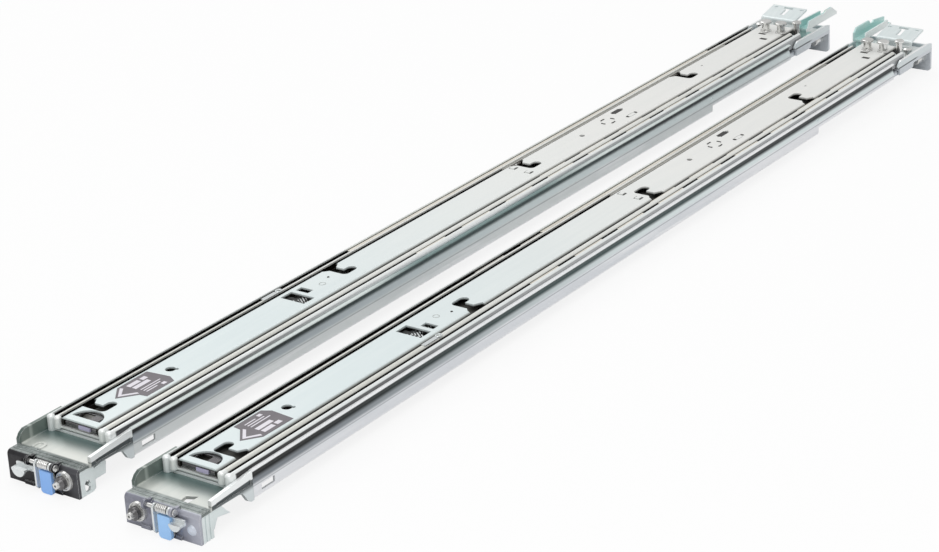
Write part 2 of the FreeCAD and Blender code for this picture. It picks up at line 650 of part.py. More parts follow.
def release_tab(side):
    """Coloured plastic pad that is pressed on the lever."""
    back = -LEVER_GAP - LEVER_T - 0.02
    body = box(TAB_X[0], TAB_X[1], back - TAB_T, back, TAB_BOTTOM, TAB_TOP)
    corners = [e for e in body.Edges if abs(e.Vertexes[0].Z - TAB_BOTTOM) < 1e-6
               and abs(e.Vertexes[-1].Z - TAB_BOTTOM) < 1e-6
               and abs(e.Vertexes[0].X - e.Vertexes[-1].X) < 1e-6]
    return body.makeFillet(1.6, corners)


def outer_channel(side):
    """Roll-formed channel that carries the cabinet member and guides the rear bracket."""
    half, top = CHANNEL_HALF, CHANNEL_TOP
    band = top - CHANNEL_BAND_H
    recess = half - GROOVE_DEPTH
    contour = [(CHANNEL_INNER, top), (half - 0.4, top), (half, top - 0.4), (half, band),
               (recess, band - 0.3), (recess, GROOVE_BOTTOM), (half, SLOPE_BOTTOM),
               (half, CHANNEL_BOTTOM + 0.5), (half - 0.5, CHANNEL_BOTTOM),
               (half - CHANNEL_T, CHANNEL_BOTTOM), (half - CHANNEL_T, SLOPE_BOTTOM - 0.2),
               (CHANNEL_INNER - 0.2, CHANNEL_WEB_BOTTOM)]
    section = [(x, z) for x, z in contour]
    section += [(-x, z) for x, z in reversed(contour)]
    section += [(-CHANNEL_INNER, FLOOR_TOP), (CHANNEL_INNER, FLOOR_TOP)]
    y0 = BRACKET_REAR + 0.1
    body = prism_along_y(section, y0, CHANNEL_REAR)
    cuts = [box(-half - 1, half + 1, CHANNEL_STEP_Y, CHANNEL_REAR + 1, CHANNEL_BOTTOM - 1,
                CHANNEL_REAR_BOTTOM)]
    cuts.append(box(-CHANNEL_INNER, CHANNEL_INNER, y0 - 1, FLOOR_TONGUE + 0.2,
                    CHANNEL_WEB_BOTTOM - 1, FLOOR_TOP + 0.1))
    window = SIDE_WINDOW
    cuts.append(box(-half - 1, half + 1, window[0], window[1], window[2], window[3]))
    for sign in (-1, 1):
        cuts.append(box(sign * (half - 0.9), sign * (half + 1), CHANNEL_STEP_Y - 2.0,
                        CHANNEL_STEP_Y + 1.6, GROOVE_BOTTOM - 2.4, GROOVE_BOTTOM - 0.4))
    for y in RIVET_PLACES:
        cuts.append(rod_z(0, y, CHANNEL_WEB_BOTTOM - 1, FLOOR_TOP + 1, RIVET_R))
    return body.cut(cuts)


def rivets(side):
    """Flush rivets through the cabinet member and the channel, headed below."""
    solids = []
    for y in RIVET_PLACES:
        profile = ((OUTER_WEB_TOP, 0.0), (OUTER_WEB_TOP, RIVET_R - 0.02),
                   (CHANNEL_WEB_BOTTOM, RIVET_R - 0.02), (CHANNEL_WEB_BOTTOM, RIVET_HEAD_R),
                   (CHANNEL_WEB_BOTTOM - RIVET_HEAD_H * 0.5, RIVET_HEAD_R),
                   (CHANNEL_WEB_BOTTOM - RIVET_HEAD_H, RIVET_HEAD_R * 0.6),
                   (CHANNEL_WEB_BOTTOM - RIVET_HEAD_H, 0.0))
        solids.append(turned_along_z(profile, 0, y, 0))
    return Part.makeCompound(solids)


def rear_bracket(side):
    """Sliding bracket: a tongue in the channel, and the head welded on top of its rear end."""
    half = CHANNEL_HALF - CHANNEL_T - TONGUE_CLEARANCE
    t = TONGUE_T
    web = TONGUE_TOP - t / 2
    path = ((-half + t / 2, HEAD_BOTTOM), (-half + t / 2, web), (half - t / 2, web),
            (half - t / 2, HEAD_BOTTOM))
    tongue = bent_along_y(path, t, 1.2, TONGUE_FRONT, HEAD_OPEN_Y)
    return Part.makeCompound([tongue, rear_head()])


def rear_head():
    """Head of the rear bracket: floor, side bands with a hooked front, flange and latch ears."""
    t = TONGUE_T
    span = CHANNEL_HALF
    inside = REAR_FACE - 0.1
    pieces = [box(-span, span, HEAD_FRONT + 1.0, inside, TONGUE_TOP, TONGUE_TOP + t)]
    outline = [(HEAD_FRONT - 1.5, HEAD_BAND_BOTTOM + 1.6), (HEAD_FRONT + 0.4, HEAD_TOP - 1.0),
               (HEAD_FRONT + 2.4, HEAD_TOP), (inside - 8.0, HEAD_TOP), (inside, FLANGE_TOP + 1.1),
               (inside, HEAD_BAND_BOTTOM - 2.0), (HEAD_OPEN_Y + 1.0, HEAD_BAND_BOTTOM - 2.0),
               (HEAD_OPEN_Y, HEAD_BOTTOM), (HEAD_FRONT + 1.0, HEAD_BOTTOM),
               (HEAD_FRONT + 1.0, HEAD_BAND_BOTTOM), (HEAD_FRONT - 1.5, HEAD_BAND_BOTTOM)]
    for sign in (-1, 1):
        pieces.append(prism_along_x(outline, sign * (span - t), sign * span))
    flange = box(-span, span, REAR_FACE - FLANGE_T, REAR_FACE, FLANGE_BOTTOM, FLANGE_TOP)
    corners = [e for e in flange.Edges if abs(e.Vertexes[0].X - e.Vertexes[-1].X) < 1e-6
               and abs(e.Vertexes[0].Z - e.Vertexes[-1].Z) < 1e-6]
    pieces.append(flange.makeFillet(2.2, corners))
    foot = TONGUE_TOP + 0.2
    for x in REAR_EAR_X:
        pieces.append(prism_along_x([(REAR_LATCH_Y - 5, foot), (REAR_LATCH_Y + 5, foot),
                                     (REAR_LATCH_Y + 2.6, REAR_LATCH_Z - 2.6),
                                     (REAR_LATCH_Y - 2.6, REAR_LATCH_Z - 2.6)], x - 0.6, x + 0.6))
    head = pieces[0].fuse(pieces[1:]).removeSplitter()
    cuts = [box(REAR_LATCH_X[0] - 0.8, REAR_LATCH_X[1] + 0.8, REAR_FACE - 5, REAR_FACE + 5,
                REAR_LATCH_Z - 4.2, REAR_LATCH_Z + 4.6)]
    for sign in (-1, 1):
        cuts.append(rod_y(sign * REAR_PIN_U, REAR_FACE - 5, REAR_FACE + 5, REAR_PIN_Z, 2.0))
    cuts.append(rod_x(REAR_EAR_X[0] - 2, REAR_EAR_X[1] + 2, REAR_LATCH_Y, REAR_LATCH_Z,
                      REAR_LATCH_PIN_R))
    return head.cut(cuts)


def rear_mount_pins(side):
    """Two stepped cones on the rear flange, two rack holes apart."""
    pins = []
    for sign in (-1, 1):
        profile = ((-FLANGE_T - REAR_PIN_BARREL, 0.0), (-FLANGE_T - REAR_PIN_BARREL, 2.2),
                   (-FLANGE_T - REAR_PIN_BARREL + 0.6, 2.8), (-FLANGE_T, 2.8),
                   (-FLANGE_T, 1.98), (0.0, 1.98), (0.0, MOUNT_COLLAR_R - 0.6),
                   (1.0, MOUNT_COLLAR_R - 0.6), (1.2, REAR_PIN_R), (REAR_PIN_REACH - 2.6,
                   REAR_PIN_R), (REAR_PIN_REACH - 0.6, 1.4), (REAR_PIN_REACH, 0.0))
        pins.append(turned_along_y(profile, sign * REAR_PIN_U, REAR_FACE, REAR_PIN_Z))
    return Part.makeCompound(pins)


def rear_latch_pin(side):
    return rod_x(REAR_EAR_X[0] - 1.2, REAR_EAR_X[1] + 1.2, REAR_LATCH_Y, REAR_LATCH_Z,
                 REAR_LATCH_PIN_R - 0.04)


def rear_latch(side):
    """Sprung hook that passes through the rear flange and grips the upright."""
    y, z = REAR_LATCH_Y, REAR_LATCH_Z
    outline = [(y - 3.4, z - 1.2), (y - 2.2, z + 2.2), (y + 1.2, z + 2.6), (y + 5.5, z + 1.8),
               (REAR_FACE + 5.4, z + 1.4), (REAR_FACE + 6.6, z + 0.2), (REAR_FACE + 6.6, z - 2.6),
               (REAR_FACE + 5.2, z - 2.6), (REAR_FACE + 4.6, z - 1.2), (y + 4.5, z - 1.6),
               (y + 1.2, z - 3.0)]
    body = prism_along_x(outline, REAR_LATCH_X[0], REAR_LATCH_X[1])
    return body.cut(rod_x(REAR_LATCH_X[0] - 1, REAR_LATCH_X[1] + 1, y, z,
                          REAR_LATCH_PIN_R + 0.04))


def rear_latch_spring(side):
    return coil(REAR_LATCH_X[1] + 0.5, REAR_EAR_X[1] - 1.0, REAR_LATCH_Y, REAR_LATCH_Z,
                REAR_LATCH_PIN_R + 0.1, 0.9)


def server_studs(side):
    """Shouldered studs on the panel that the server hangs on."""
    studs = []
    for x, y in STUD_PLACES:
        neck_top = STUD_H - STUD_HEAD_H
        profile = ((0.0, 0.0), (0.0, STUD_HEAD_R), (STUD_BASE_H, STUD_HEAD_R - 0.3),
                   (STUD_BASE_H, STUD_NECK_R), (neck_top, STUD_NECK_R), (neck_top, STUD_HEAD_R),
                   (STUD_H - 0.4, STUD_HEAD_R), (STUD_H, STUD_HEAD_R - 0.5), (STUD_H, 0.0))
        studs.append(turned_along_z(profile, x, y, 0.0))
    return Part.makeCompound(studs)


def stop_stud(side):
    """Stud on the cabinet member behind the slides, which stops them."""
    x, y = STOP_STUD
    neck_top = STOP_STUD_TOP - STUD_HEAD_H
    profile = ((OUTER_WEB_TOP, 0.0), (OUTER_WEB_TOP, STOP_STUD_HEAD_R),
               (OUTER_WEB_TOP + STUD_BASE_H, STOP_STUD_HEAD_R),
               (OUTER_WEB_TOP + STUD_BASE_H, STOP_STUD_R), (neck_top, STOP_STUD_R),
               (neck_top, STOP_STUD_HEAD_R), (STOP_STUD_TOP - 0.4, STOP_STUD_HEAD_R),
               (STOP_STUD_TOP, STOP_STUD_HEAD_R - 0.5), (STOP_STUD_TOP, 0.0))
    return turned_along_z(profile, x, y, 0.0)


def slide_lock(side):
    """Leaf that springs up in the panel's window and locks the server member."""
    u0, u1, y0, y1 = LOCK_WINDOW
    top = -INNER_T - 0.3
    leaf = bent_along_x(((y0 + 1.0, top + 0.9), (y0 + 3.2, top - 0.35), (LOCK_SLOT[3] + 6.0,
                        top - 0.35)), 0.7, 0.8, -2.6, 2.6)
    cross = bent_along_x(((y0 + 0.9, top + 1.0), (y0 + 3.0, top - 0.35), (y0 + 6.0, top - 0.35)),
                         0.7, 0.8, side * (u0 + 1.0), side * (u1 - 1.0))
    pad = rod_z(0, LOCK_SLOT[3] + 4.0, top - 0.7, -INNER_T - 0.05, 2.2)
    return leaf.fuse([cross, pad]).removeSplitter()


def front_stop(side):
    """Stamped plate under the panel's front edge, seen through the round window."""
    top = -INNER_T - 0.1
    edge = PANEL_D_FRONT
    path = ((SLIDE_FRONT + 0.8, -INNER_DEPTH + 0.5), (SLIDE_FRONT + 0.8, top - 0.5),
            (edge + PANEL_D_R, top - 0.5))
    plate = bent_along_x(path, 0.8, 0.7, -9.2, 9.2)
    tongue = box(1.0, 0.68 * PANEL_D_R, edge + 0.9, edge + 0.6 * PANEL_D_R, top - 0.8, top + 0.5)
    window = box(-0.85 * PANEL_D_R, 0.2, edge + 0.5, edge + 0.82 * PANEL_D_R, top - 3, top + 2)
    return plate.cut(window).fuse(tongue).removeSplitter()


def lever_pad(side):
    """Small moulded pad in the front stop, at the panel's front edge."""
    return box(-0.6, 6.2, SLIDE_FRONT - 0.5, SLIDE_FRONT + 0.38, -INNER_DEPTH + 0.6,
               -INNER_T - 0.6)


def label(side):
    """Thin adhesive label with a pointed front, cut to a seven-cornered outline."""
    outline = ((2.2, 51.7), (8.7, 60.2), (9.0, 81.0), (-4.4, 82.4), (-9.0, 79.9), (-9.1, 61.0),
               (-4.9, 60.4))
    return prism_along_z([(side * u, y) for u, y in outline], 0.0, 0.15)


def t_slot_plate(side):
    """Tilted plate behind the slides with a T-shaped slot, on a folded leg."""
    u0, u1 = T_PLATE_U
    y0, y1 = T_PLATE_Y
    t = PLATE_SHEET
    foot = OUTER_WEB_TOP + t / 2 + 0.02
    path = ((y0 + 8.0, foot), (y0, foot), (y0, T_PLATE_FRONT_Z), (y1, T_PLATE_REAR_Z))
    plate = bent_along_x(path, t, 1.0, min(side * u0, side * u1), max(side * u0, side * u1))
    low, high = T_PLATE_FRONT_Z - 3.0, T_PLATE_REAR_Z + 2
    cuts = [box(side * T_STEM_U[0], side * T_STEM_U[1], y0 + 4.8, y1 - 3.0, low, high),
            box(side * T_BAR_U[0], side * T_BAR_U[1], y1 - 3.4, y1 - 1.2, low, high)]
    for u in (u0 + 1.0, u1 - 4.6):
        cuts.append(box(side * u, side * (u + 2.6), y1 - 3.0, y1 - 1.8, low, high))
    for edge, inner in ((u0 - 1, T_BAR_U[0]), (T_BAR_U[1], u1 + 1)):
        cuts.append(box(side * edge, side * inner, y0 - 2, y0 + 9.0, foot - 2, T_PLATE_APRON))
    return plate.cut(cuts)


def cable_walls(side):
    """Outlines of the far and the near wall of the cable arm's channel, as (y, z)."""
    y0, y1 = CABLE_CHANNEL_Y
    tall, middle, low = CABLE_WALL_TALL, CABLE_WALL_MIDDLE, CABLE_WALL_LOW
    if side > 0:
        far = [(y0, tall - 2.8), (y0 + 3.2, tall), (y1 - 21.0, tall - 0.2), (y1 - 19.0, tall - 2.7),
               (y1 - 16.0, tall - 2.7), (y1 - 14.5, tall - 1.6), (y1, tall - 3.5)]
        return far, [(y0 + 6.0, low - 1.5), (y0 + 7.0, low), (y1 - 4.5, low)]
    far = [(y0 + 1.5, 0.4), (y0 + 4.0, middle), (y1 - 16.5, middle - 0.2),
           (y1 - 14.5, middle + 0.9), (y1 - 7.0, middle + 0.9), (y1 - 3.5, middle - 1.5), (y1, 0.4)]
    return far, [(y0, middle - 1.0), (y0 + 1.0, middle + 0.4), (y1 - 13.0, middle - 0.5)]


def cable_arm_channel(side):
    """Open channel that the cable arm slides into, with uneven walls, on a folded leg."""
    u0, u1 = CABLE_CHANNEL_U
    y0, y1 = CABLE_CHANNEL_Y
    t = PLATE_SHEET
    under = PLATE_Z - t
    body = box(side * u0, side * u1, y0, y1, under, PLATE_Z)
    walls = []
    for outline, u in zip(cable_walls(side), (u0, u1 - t)):
        closed = outline + [(outline[-1][0], under), (outline[0][0], under)]
        walls.append(prism_along_x(closed, side * u, side * (u + t)))
    foot = OUTER_WEB_TOP + t / 2 + 0.02
    inner = min(side * (u0 + 1.4), side * u1)
    outer = max(side * (u0 + 1.4), side * u1)
    leg = bent_along_x(((y0 + 12.0, foot), (y0 + 2.0, foot), (y0 + 2.0, under - 0.1)), t, 1.2,
                       inner, outer)
    link = box(inner, outer, y0 + 1.4, y0 + 2.6, under - 0.3, PLATE_Z - 0.3)
    return body.fuse(walls + [leg, link]).removeSplitter()


def rear_screw(side):
    """Pan-head screw at the end of the cabinet member."""
    z = OUTER_WEB_TOP
    r = REAR_SCREW_R - 0.02
    head = 2 * REAR_SCREW_R
    profile = ((z - OUTER_T, 0.0), (z - OUTER_T, r), (z + 3.0, r), (z + 3.0, head),
               (z + 4.6, head), (z + 5.4, head * 0.6), (z + 5.4, 0.0))
    return turned_along_z(profile, side * REAR_SCREW[0], REAR_SCREW[1], 0.0)


def place(shape, side):
    """Move a piece from its rail's frame to its place in the pair."""
    moved = shape.copy()
    moved.translate(V(side * RAIL_PITCH / 2, -Y_MIDDLE - side * STAGGER / 2, REST_Z))
    return moved


PIECES = {
    "front_bracket": front_bracket,
    "side_guard": side_guard,
    "front_mount_pin": front_mount_pin,
    "latch_pivot_pin": latch_pivot_pin,
    "latch_spring": latch_spring,
    "front_latch": front_latch,
    "release_tab": release_tab,
    "outer_channel": outer_channel,
    "outer_member": outer_member,
    "rivets": rivets,
    "stop_stud": stop_stud,
    "t_slot_plate": t_slot_plate,
    "cable_arm_channel": cable_arm_channel,
    "rear_screw": rear_screw,
    "outer_cage": outer_cage,
    "outer_balls": outer_balls,
    "middle_member": middle_member,
    "inner_cage": inner_cage,
    "inner_balls": inner_balls,
    "inner_member": inner_member,
    "server_studs": server_studs,
    "slide_lock": slide_lock,
    "front_stop": front_stop,
    "lever_pad": lever_pad,
    "label": label,
    "rear_bracket": rear_bracket,
    "rear_mount_pins": rear_mount_pins,
    "rear_latch_pin": rear_latch_pin,
    "rear_latch": rear_latch,
    "rear_latch_spring": rear_latch_spring,
}

os.makedirs("parts", exist_ok=True)
for rail, side in (("left", -1), ("right", 1)):
    for name, make in PIECES.items():
        place(make(side), side).exportStep("parts/%s_%s.step" % (rail, name))
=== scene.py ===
import bmesh
import bpy
import math
from mathutils import Matrix, Vector


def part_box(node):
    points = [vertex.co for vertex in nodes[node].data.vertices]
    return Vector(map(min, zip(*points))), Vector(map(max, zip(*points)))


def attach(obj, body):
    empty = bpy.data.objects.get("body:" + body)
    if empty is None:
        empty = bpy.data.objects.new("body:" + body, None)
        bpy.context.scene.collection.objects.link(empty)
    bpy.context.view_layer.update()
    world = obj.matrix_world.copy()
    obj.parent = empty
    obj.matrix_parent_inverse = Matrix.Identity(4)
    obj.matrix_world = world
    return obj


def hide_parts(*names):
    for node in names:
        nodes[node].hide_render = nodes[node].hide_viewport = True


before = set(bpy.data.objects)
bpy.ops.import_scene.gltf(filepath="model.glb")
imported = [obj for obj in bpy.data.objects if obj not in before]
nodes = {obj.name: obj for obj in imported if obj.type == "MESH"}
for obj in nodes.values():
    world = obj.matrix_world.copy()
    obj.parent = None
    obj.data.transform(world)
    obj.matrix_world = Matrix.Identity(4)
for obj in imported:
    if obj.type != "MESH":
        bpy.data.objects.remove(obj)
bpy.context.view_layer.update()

# Sizes of the shapes are in millimetres, and MM turns them into metres. Materials take metres.
MM = 0.001

# The two rails, with the sign of the details that are mirrored between them
RAILS = {"left": -1, "right": 1}

# From the plate's face to the server panel's front edge, in millimetres
PANEL_FRONT = 25.5

# Where the middle member's lip changes tone and its clip starts, in metres from the plate
LIP_STEP = 0.173


def rail_origin(rail):
    """Where the rail's centre line, plate face and panel plane meet, in metres."""
    low, high = (Vector(c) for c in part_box(rail + "_inner_member"))
    return Vector(((low.x + high.x) / 2, low.y - PANEL_FRONT * MM, high.z))


ORIGIN = {rail: rail_origin(rail) for rail in RAILS}
RAIL_X = ORIGIN["right"].x
RIGHT_SETBACK = ORIGIN["right"].y - ORIGIN["left"].y
PANEL_Z = ORIGIN["right"].z


def at(rail, x, y, z):
    """A point of one rail: x across, y from the plate, z from the panel, in millimetres."""
    return ORIGIN[rail] + Vector((x, y, z)) * MM


# Camera, at the photograph's viewing angle
IMAGE_WIDTH = 939
FOCAL_PIXELS = 2577.0
SENSOR = 36.0
CLIP_NEAR = 0.05
CLIP_FAR = 20.0
CAMERA_AT = Vector((726.1, -1063.6, 530.9)) * MM
CAMERA_RIGHT = Vector((0.81701, 0.57462, -0.04793))
CAMERA_UP = Vector((-0.19047, 0.34740, 0.91817))
CAMERA_BACK = Vector((0.54425, -0.74103, 0.39328))


def make_camera():
    data = bpy.data.cameras.new("camera")
    data.sensor_width = SENSOR
    data.lens = FOCAL_PIXELS / IMAGE_WIDTH * SENSOR
    data.clip_start = CLIP_NEAR
    data.clip_end = CLIP_FAR
    camera = bpy.data.objects.new("camera", data)
    turn = Matrix((CAMERA_RIGHT, CAMERA_UP, CAMERA_BACK)).transposed().to_4x4()
    camera.matrix_world = Matrix.Translation(CAMERA_AT) @ turn
    bpy.context.scene.collection.objects.link(camera)
    bpy.context.scene.camera = camera


def colour(red, green, blue):
    """A colour as it is seen on screen, 0 to 255, in linear values."""
    def channel(value):
        value = value / 255
        return value / 12.92 if value <= 0.04045 else ((value + 0.055) / 1.055) ** 2.4
    return (channel(red), channel(green), channel(blue), 1.0)


# Broken edges: their radius in metres, and the cosines between which a painted highlight lightens them
EDGE_RADIUS = 0.00022
EDGE_SAMPLES = 6
EDGE_TURN = (0.985, 0.86)

# Gloss of every material, and how far its roughness varies with the grain
SPECULAR = 0.5
GRAIN_SPREAD = 0.06


class Tree:
    """A material's node tree, with short calls for the nodes used here."""

    def __init__(self, name):
        self.material = bpy.data.materials.new(name)
        self.material.use_nodes = True
        self.nodes = self.material.node_tree.nodes
        self.links = self.material.node_tree.links
        self.nodes.clear()
        self.output = self.nodes.new("ShaderNodeOutputMaterial")
        self.shader = self.nodes.new("ShaderNodeBsdfPrincipled")
        self.relief = None
        self.links.new(self.shader.outputs[0], self.output.inputs["Surface"])
        self.place = self.nodes.new("ShaderNodeTexCoord").outputs["Object"]
        split = self.nodes.new("ShaderNodeSeparateXYZ")
        self.links.new(self.place, split.inputs[0])
        self.x, self.y, self.z = split.outputs

    def math(self, operation, first, second=0.0):
        node = self.nodes.new("ShaderNodeMath")
        node.operation = operation
        for socket, value in zip(node.inputs, (first, second)):
            if hasattr(value, "is_linked"):
                self.links.new(value, socket)
            else:
                socket.default_value = value
        return node.outputs[0]

    def step(self, value, low, high):
        """0 at low to 1 at high, smoothly; low may be the larger."""
        node = self.nodes.new("ShaderNodeMapRange")
        node.interpolation_type = "SMOOTHSTEP"
        self.links.new(value, node.inputs["Value"])
        node.inputs["From Min"].default_value = low
        node.inputs["From Max"].default_value = high
        return node.outputs["Result"]

    def between(self, value, start, end):
        """1 from the blend at start to the blend at end, and 0 outside them."""
        return self.math("MULTIPLY", self.step(value, *start), self.step(value, *end))

    def noise(self, scale, detail, stretch=(1.0, 1.0, 1.0)):
        mapping = self.nodes.new("ShaderNodeMapping")
        mapping.inputs["Scale"].default_value = stretch
        self.links.new(self.place, mapping.inputs["Vector"])
        node = self.nodes.new("ShaderNodeTexNoise")
        node.inputs["Scale"].default_value = scale
        node.inputs["Detail"].default_value = detail
        self.links.new(mapping.outputs[0], node.inputs["Vector"])
        return node.outputs[0]

    def mix(self, factor, first, second):
        node = self.nodes.new("ShaderNodeMix")
        node.data_type = "RGBA"
        sockets = [s for s in node.inputs if s.type == "RGBA"]
        self.links.new(factor, node.inputs[0])
        for socket, value in zip(sockets, (first, second)):
            if hasattr(value, "is_linked"):
                self.links.new(value, socket)
            else:
                socket.default_value = value
        return [s for s in node.outputs if s.type == "RGBA"][0]

    def half_width(self):
        """Distance from the rail's centre line, in metres, the same on both rails."""
        outside = self.math("SUBTRACT", self.math("ABSOLUTE", self.x), RAIL_X)
        return self.math("ABSOLUTE", outside)

    def rail_x(self, rail):
        return self.math("SUBTRACT", self.x, ORIGIN[rail].x)

    def rail_y(self, rail):
        return self.math("SUBTRACT", self.y, ORIGIN[rail].y)

    def depth(self):
        """Height over the panel plane, in metres; negative below it."""
        return self.math("SUBTRACT", self.z, PANEL_Z)

    def bump(self, height, strength, distance=0.00005):
        node = self.nodes.new("ShaderNodeBump")
        node.inputs["Strength"].default_value = strength
        node.inputs["Distance"].default_value = distance
        self.links.new(height, node.inputs["Height"])
        self.links.new(node.outputs[0], self.shader.inputs["Normal"])
        self.relief = node

    def round_edges(self, base, glint):
        """Broken edges: the normal turns round them, and a painted highlight lightens them."""
        soft = self.nodes.new("ShaderNodeBevel")
        soft.samples = EDGE_SAMPLES
        soft.inputs["Radius"].default_value = EDGE_RADIUS
        target = self.relief if self.relief else self.shader
        self.links.new(soft.outputs[0], target.inputs["Normal"])
        flat = self.nodes.new("ShaderNodeNewGeometry")
        compare = self.nodes.new("ShaderNodeVectorMath")
        compare.operation = "DOT_PRODUCT"
        self.links.new(soft.outputs[0], compare.inputs[0])
        self.links.new(flat.outputs["Normal"], compare.inputs[1])
        edge = self.step(compare.outputs["Value"], *EDGE_TURN)
        # Painted highlight: the base colour turns near-white along the edges, by the glint amount
        return self.mix(self.math("MULTIPLY", edge, glint), base, colour(250, 252, 252))

    def finish(self, base, metallic, roughness, glint=0.0):
        if glint:
            base = self.round_edges(base, glint)
        self.links.new(base, self.shader.inputs["Base Color"])
        self.shader.inputs["Metallic"].default_value = metallic
        self.shader.inputs["Specular IOR Level"].default_value = SPECULAR
        grain = self.noise(900.0, 2.0, (1.0, 0.15, 1.0))
        spread = self.math("MULTIPLY", grain, GRAIN_SPREAD)
        rough = self.math("ADD", spread, roughness - GRAIN_SPREAD / 2)
        self.links.new(rough, self.shader.inputs["Roughness"])
        return self.material


def mottled(tree, pale, deep, amount=0.5):
    """Zinc plate's faint cloudy tone, drawn out along the rolling direction."""
    cloud = tree.noise(26.0, 4.0, (1.0, 0.22, 1.0))
    fine = tree.noise(420.0, 2.0, (1.0, 0.05, 1.0))
    both = tree.math("ADD", tree.math("MULTIPLY", cloud, 0.7), tree.math("MULTIPLY", fine, 0.3))
    return tree.mix(tree.math("MULTIPLY", tree.step(both, 0.35, 0.68), amount), pale, deep)


# Zones of the slide members' looks, in metres, with painted shade on the panel's edges and flanges,
# over the ball tracks and in the members' insides.
# A pair goes from where a tone starts to where it is full: across from the rail's centre line, up from
# the panel plane, or along from the plate.
PANEL_SHADE = (0.0101, 0.0110)
PANEL_SIDE_SHADE = (-0.0004, -0.0013)
MIDDLE_TRACK = 0.0106
MIDDLE_INSIDE = (-0.0008, -0.0014)
OUTER_TRACK = 0.0148
OUTER_INSIDE = (-0.0008, -0.0013)
OUTER_WALL = (0.0192, 0.0195)
TRACK_BLEND = 0.0006
BRIGHT_FRONT = (0.0283, 0.0272)
BRIGHT_TAIL = (0.6665, 0.668)


def panel_material(rail):
    """Pale zinc of the server member: its web, warm towards the rear, with painted shade on its edges
    and painted near-black shade on its flanges below the panel plane.
    """
    tree = Tree("panel_" + rail)
    y = tree.rail_y(rail)
    cool = mottled(tree, colour(226, 235, 235), colour(212, 224, 226))
    warm = mottled(tree, colour(238, 238, 235), colour(228, 230, 228))
    base = tree.mix(tree.step(y, 0.12, 0.5), cool, warm)
    # Painted shade on the panel's rounded edges
    edge = tree.step(tree.half_width(), *PANEL_SHADE)
    base = tree.mix(tree.math("MULTIPLY", edge, 0.7), base, colour(142, 142, 136))
    # Painted near-black shade on the flanges below the panel plane, in the slide's gap
    deep = tree.step(tree.depth(), *PANEL_SIDE_SHADE)
    base = tree.mix(deep, base, colour(26, 22, 18))
    tree.bump(tree.noise(700.0, 2.0, (1.0, 0.1, 1.0)), 0.08)
    return tree.finish(base, 0.15, 0.42)


def slide_inside(tree, clear):
    """Inside of a slide member: a dull grey web, its darkness partly its own tone and partly painted
    shade, and painted near-black shade over the ball tracks beside it.
    """
    # Painted near-black shade over the ball tracks, in the gaps between the members
    track = tree.mix(tree.noise(60.0, 3.0, (1.0, 0.1, 1.0)), colour(16, 13, 11), colour(38, 33, 28))
    web = mottled(tree, colour(136, 136, 132), colour(104, 103, 99), 0.9)
    return tree.mix(tree.step(tree.half_width(), clear - TRACK_BLEND, clear), web, track)


def middle_material(rail):
    """Rolled middle member: bright lips, a little darker in front of the step, over an inside darkened
    with painted shade.
    """
    tree = Tree("middle_" + rail)
    y = tree.rail_y(rail)
    lip = mottled(tree, colour(242, 243, 239), colour(220, 221, 214))
    # The lip is a little darker in front of the step
    lip_in_front = mottled(tree, colour(234, 235, 229), colour(206, 206, 198))
    lip = tree.mix(tree.step(y, LIP_STEP - 0.001, LIP_STEP + 0.001), lip_in_front, lip)
    inside = slide_inside(tree, MIDDLE_TRACK)
    # Painted shade: below its lip the member turns to the dark inside
    deep = tree.step(tree.depth(), *MIDDLE_INSIDE)
    # The front end is spared the painted shade and given an even near-white
    front = tree.step(y, *BRIGHT_FRONT)
    deep = tree.math("MULTIPLY", deep, tree.math("SUBTRACT", 1.0, front))
    lip = tree.mix(front, lip, colour(240, 243, 241))
    base = tree.mix(deep, lip, inside)
    tree.bump(tree.noise(600.0, 2.0, (1.0, 0.08, 1.0)), 0.08)
    return tree.finish(base, 0.3, 0.3, glint=0.35)


# Painted light and shade on the cabinet member's outer wall along the rail, as (metres from the plate,
# level)
WALL_LIGHT_AND_SHADE = {
    "left": ((0.03, 60), (0.3, 250), (0.46, 180)),
    "right": ((0.03, 44), (0.3, 170), (0.66, 180)),
}


def along(tree, y, stops):
    """A grey that changes along the rail through the given stops."""
    base = colour(stops[0][1], stops[0][1], stops[0][1])
    for (start, _), (end, level) in zip(stops, stops[1:]):
        base = tree.mix(tree.step(y, start, end), base, colour(level, level + 2, level + 3))
    return base


def outer_material(rail):
    """Rolled cabinet member: thin bright lip, an inside darkened with painted shade, and an outer wall
    whose painted light and shade change along the rail.
    """
    tree = Tree("outer_" + rail)
    y = tree.rail_y(rail)
    lip = mottled(tree, colour(246, 249, 248), colour(224, 231, 231))
    inside = slide_inside(tree, OUTER_TRACK)
    outside = tree.step(tree.half_width(), *OUTER_WALL)
    # Painted light and shade: the outer wall's grey goes dark and bright along the rail
    wall = along(tree, y, WALL_LIGHT_AND_SHADE[rail])
    streak = tree.step(tree.noise(90.0, 3.0, (1.0, 0.05, 1.0)), 0.45, 0.7)
    wall = tree.mix(tree.math("MULTIPLY", streak, 0.35), wall, colour(110, 116, 122))
    low = tree.mix(outside, inside, wall)
    # The front end and the rear tail are spared the painted shade of the inside
    front = tree.step(y, *BRIGHT_FRONT)
    tail = tree.step(y, *BRIGHT_TAIL)
    free = tree.math("SUBTRACT", 1.0, tree.math("MAXIMUM", front, tail))
    deep = tree.math("MULTIPLY", tree.step(tree.depth(), *OUTER_INSIDE), free)
    base = tree.mix(deep, lip, low)
    tree.bump(tree.noise(600.0, 2.0, (1.0, 0.08, 1.0)), 0.08)
    return tree.finish(base, 0.3, 0.3, glint=0.35)


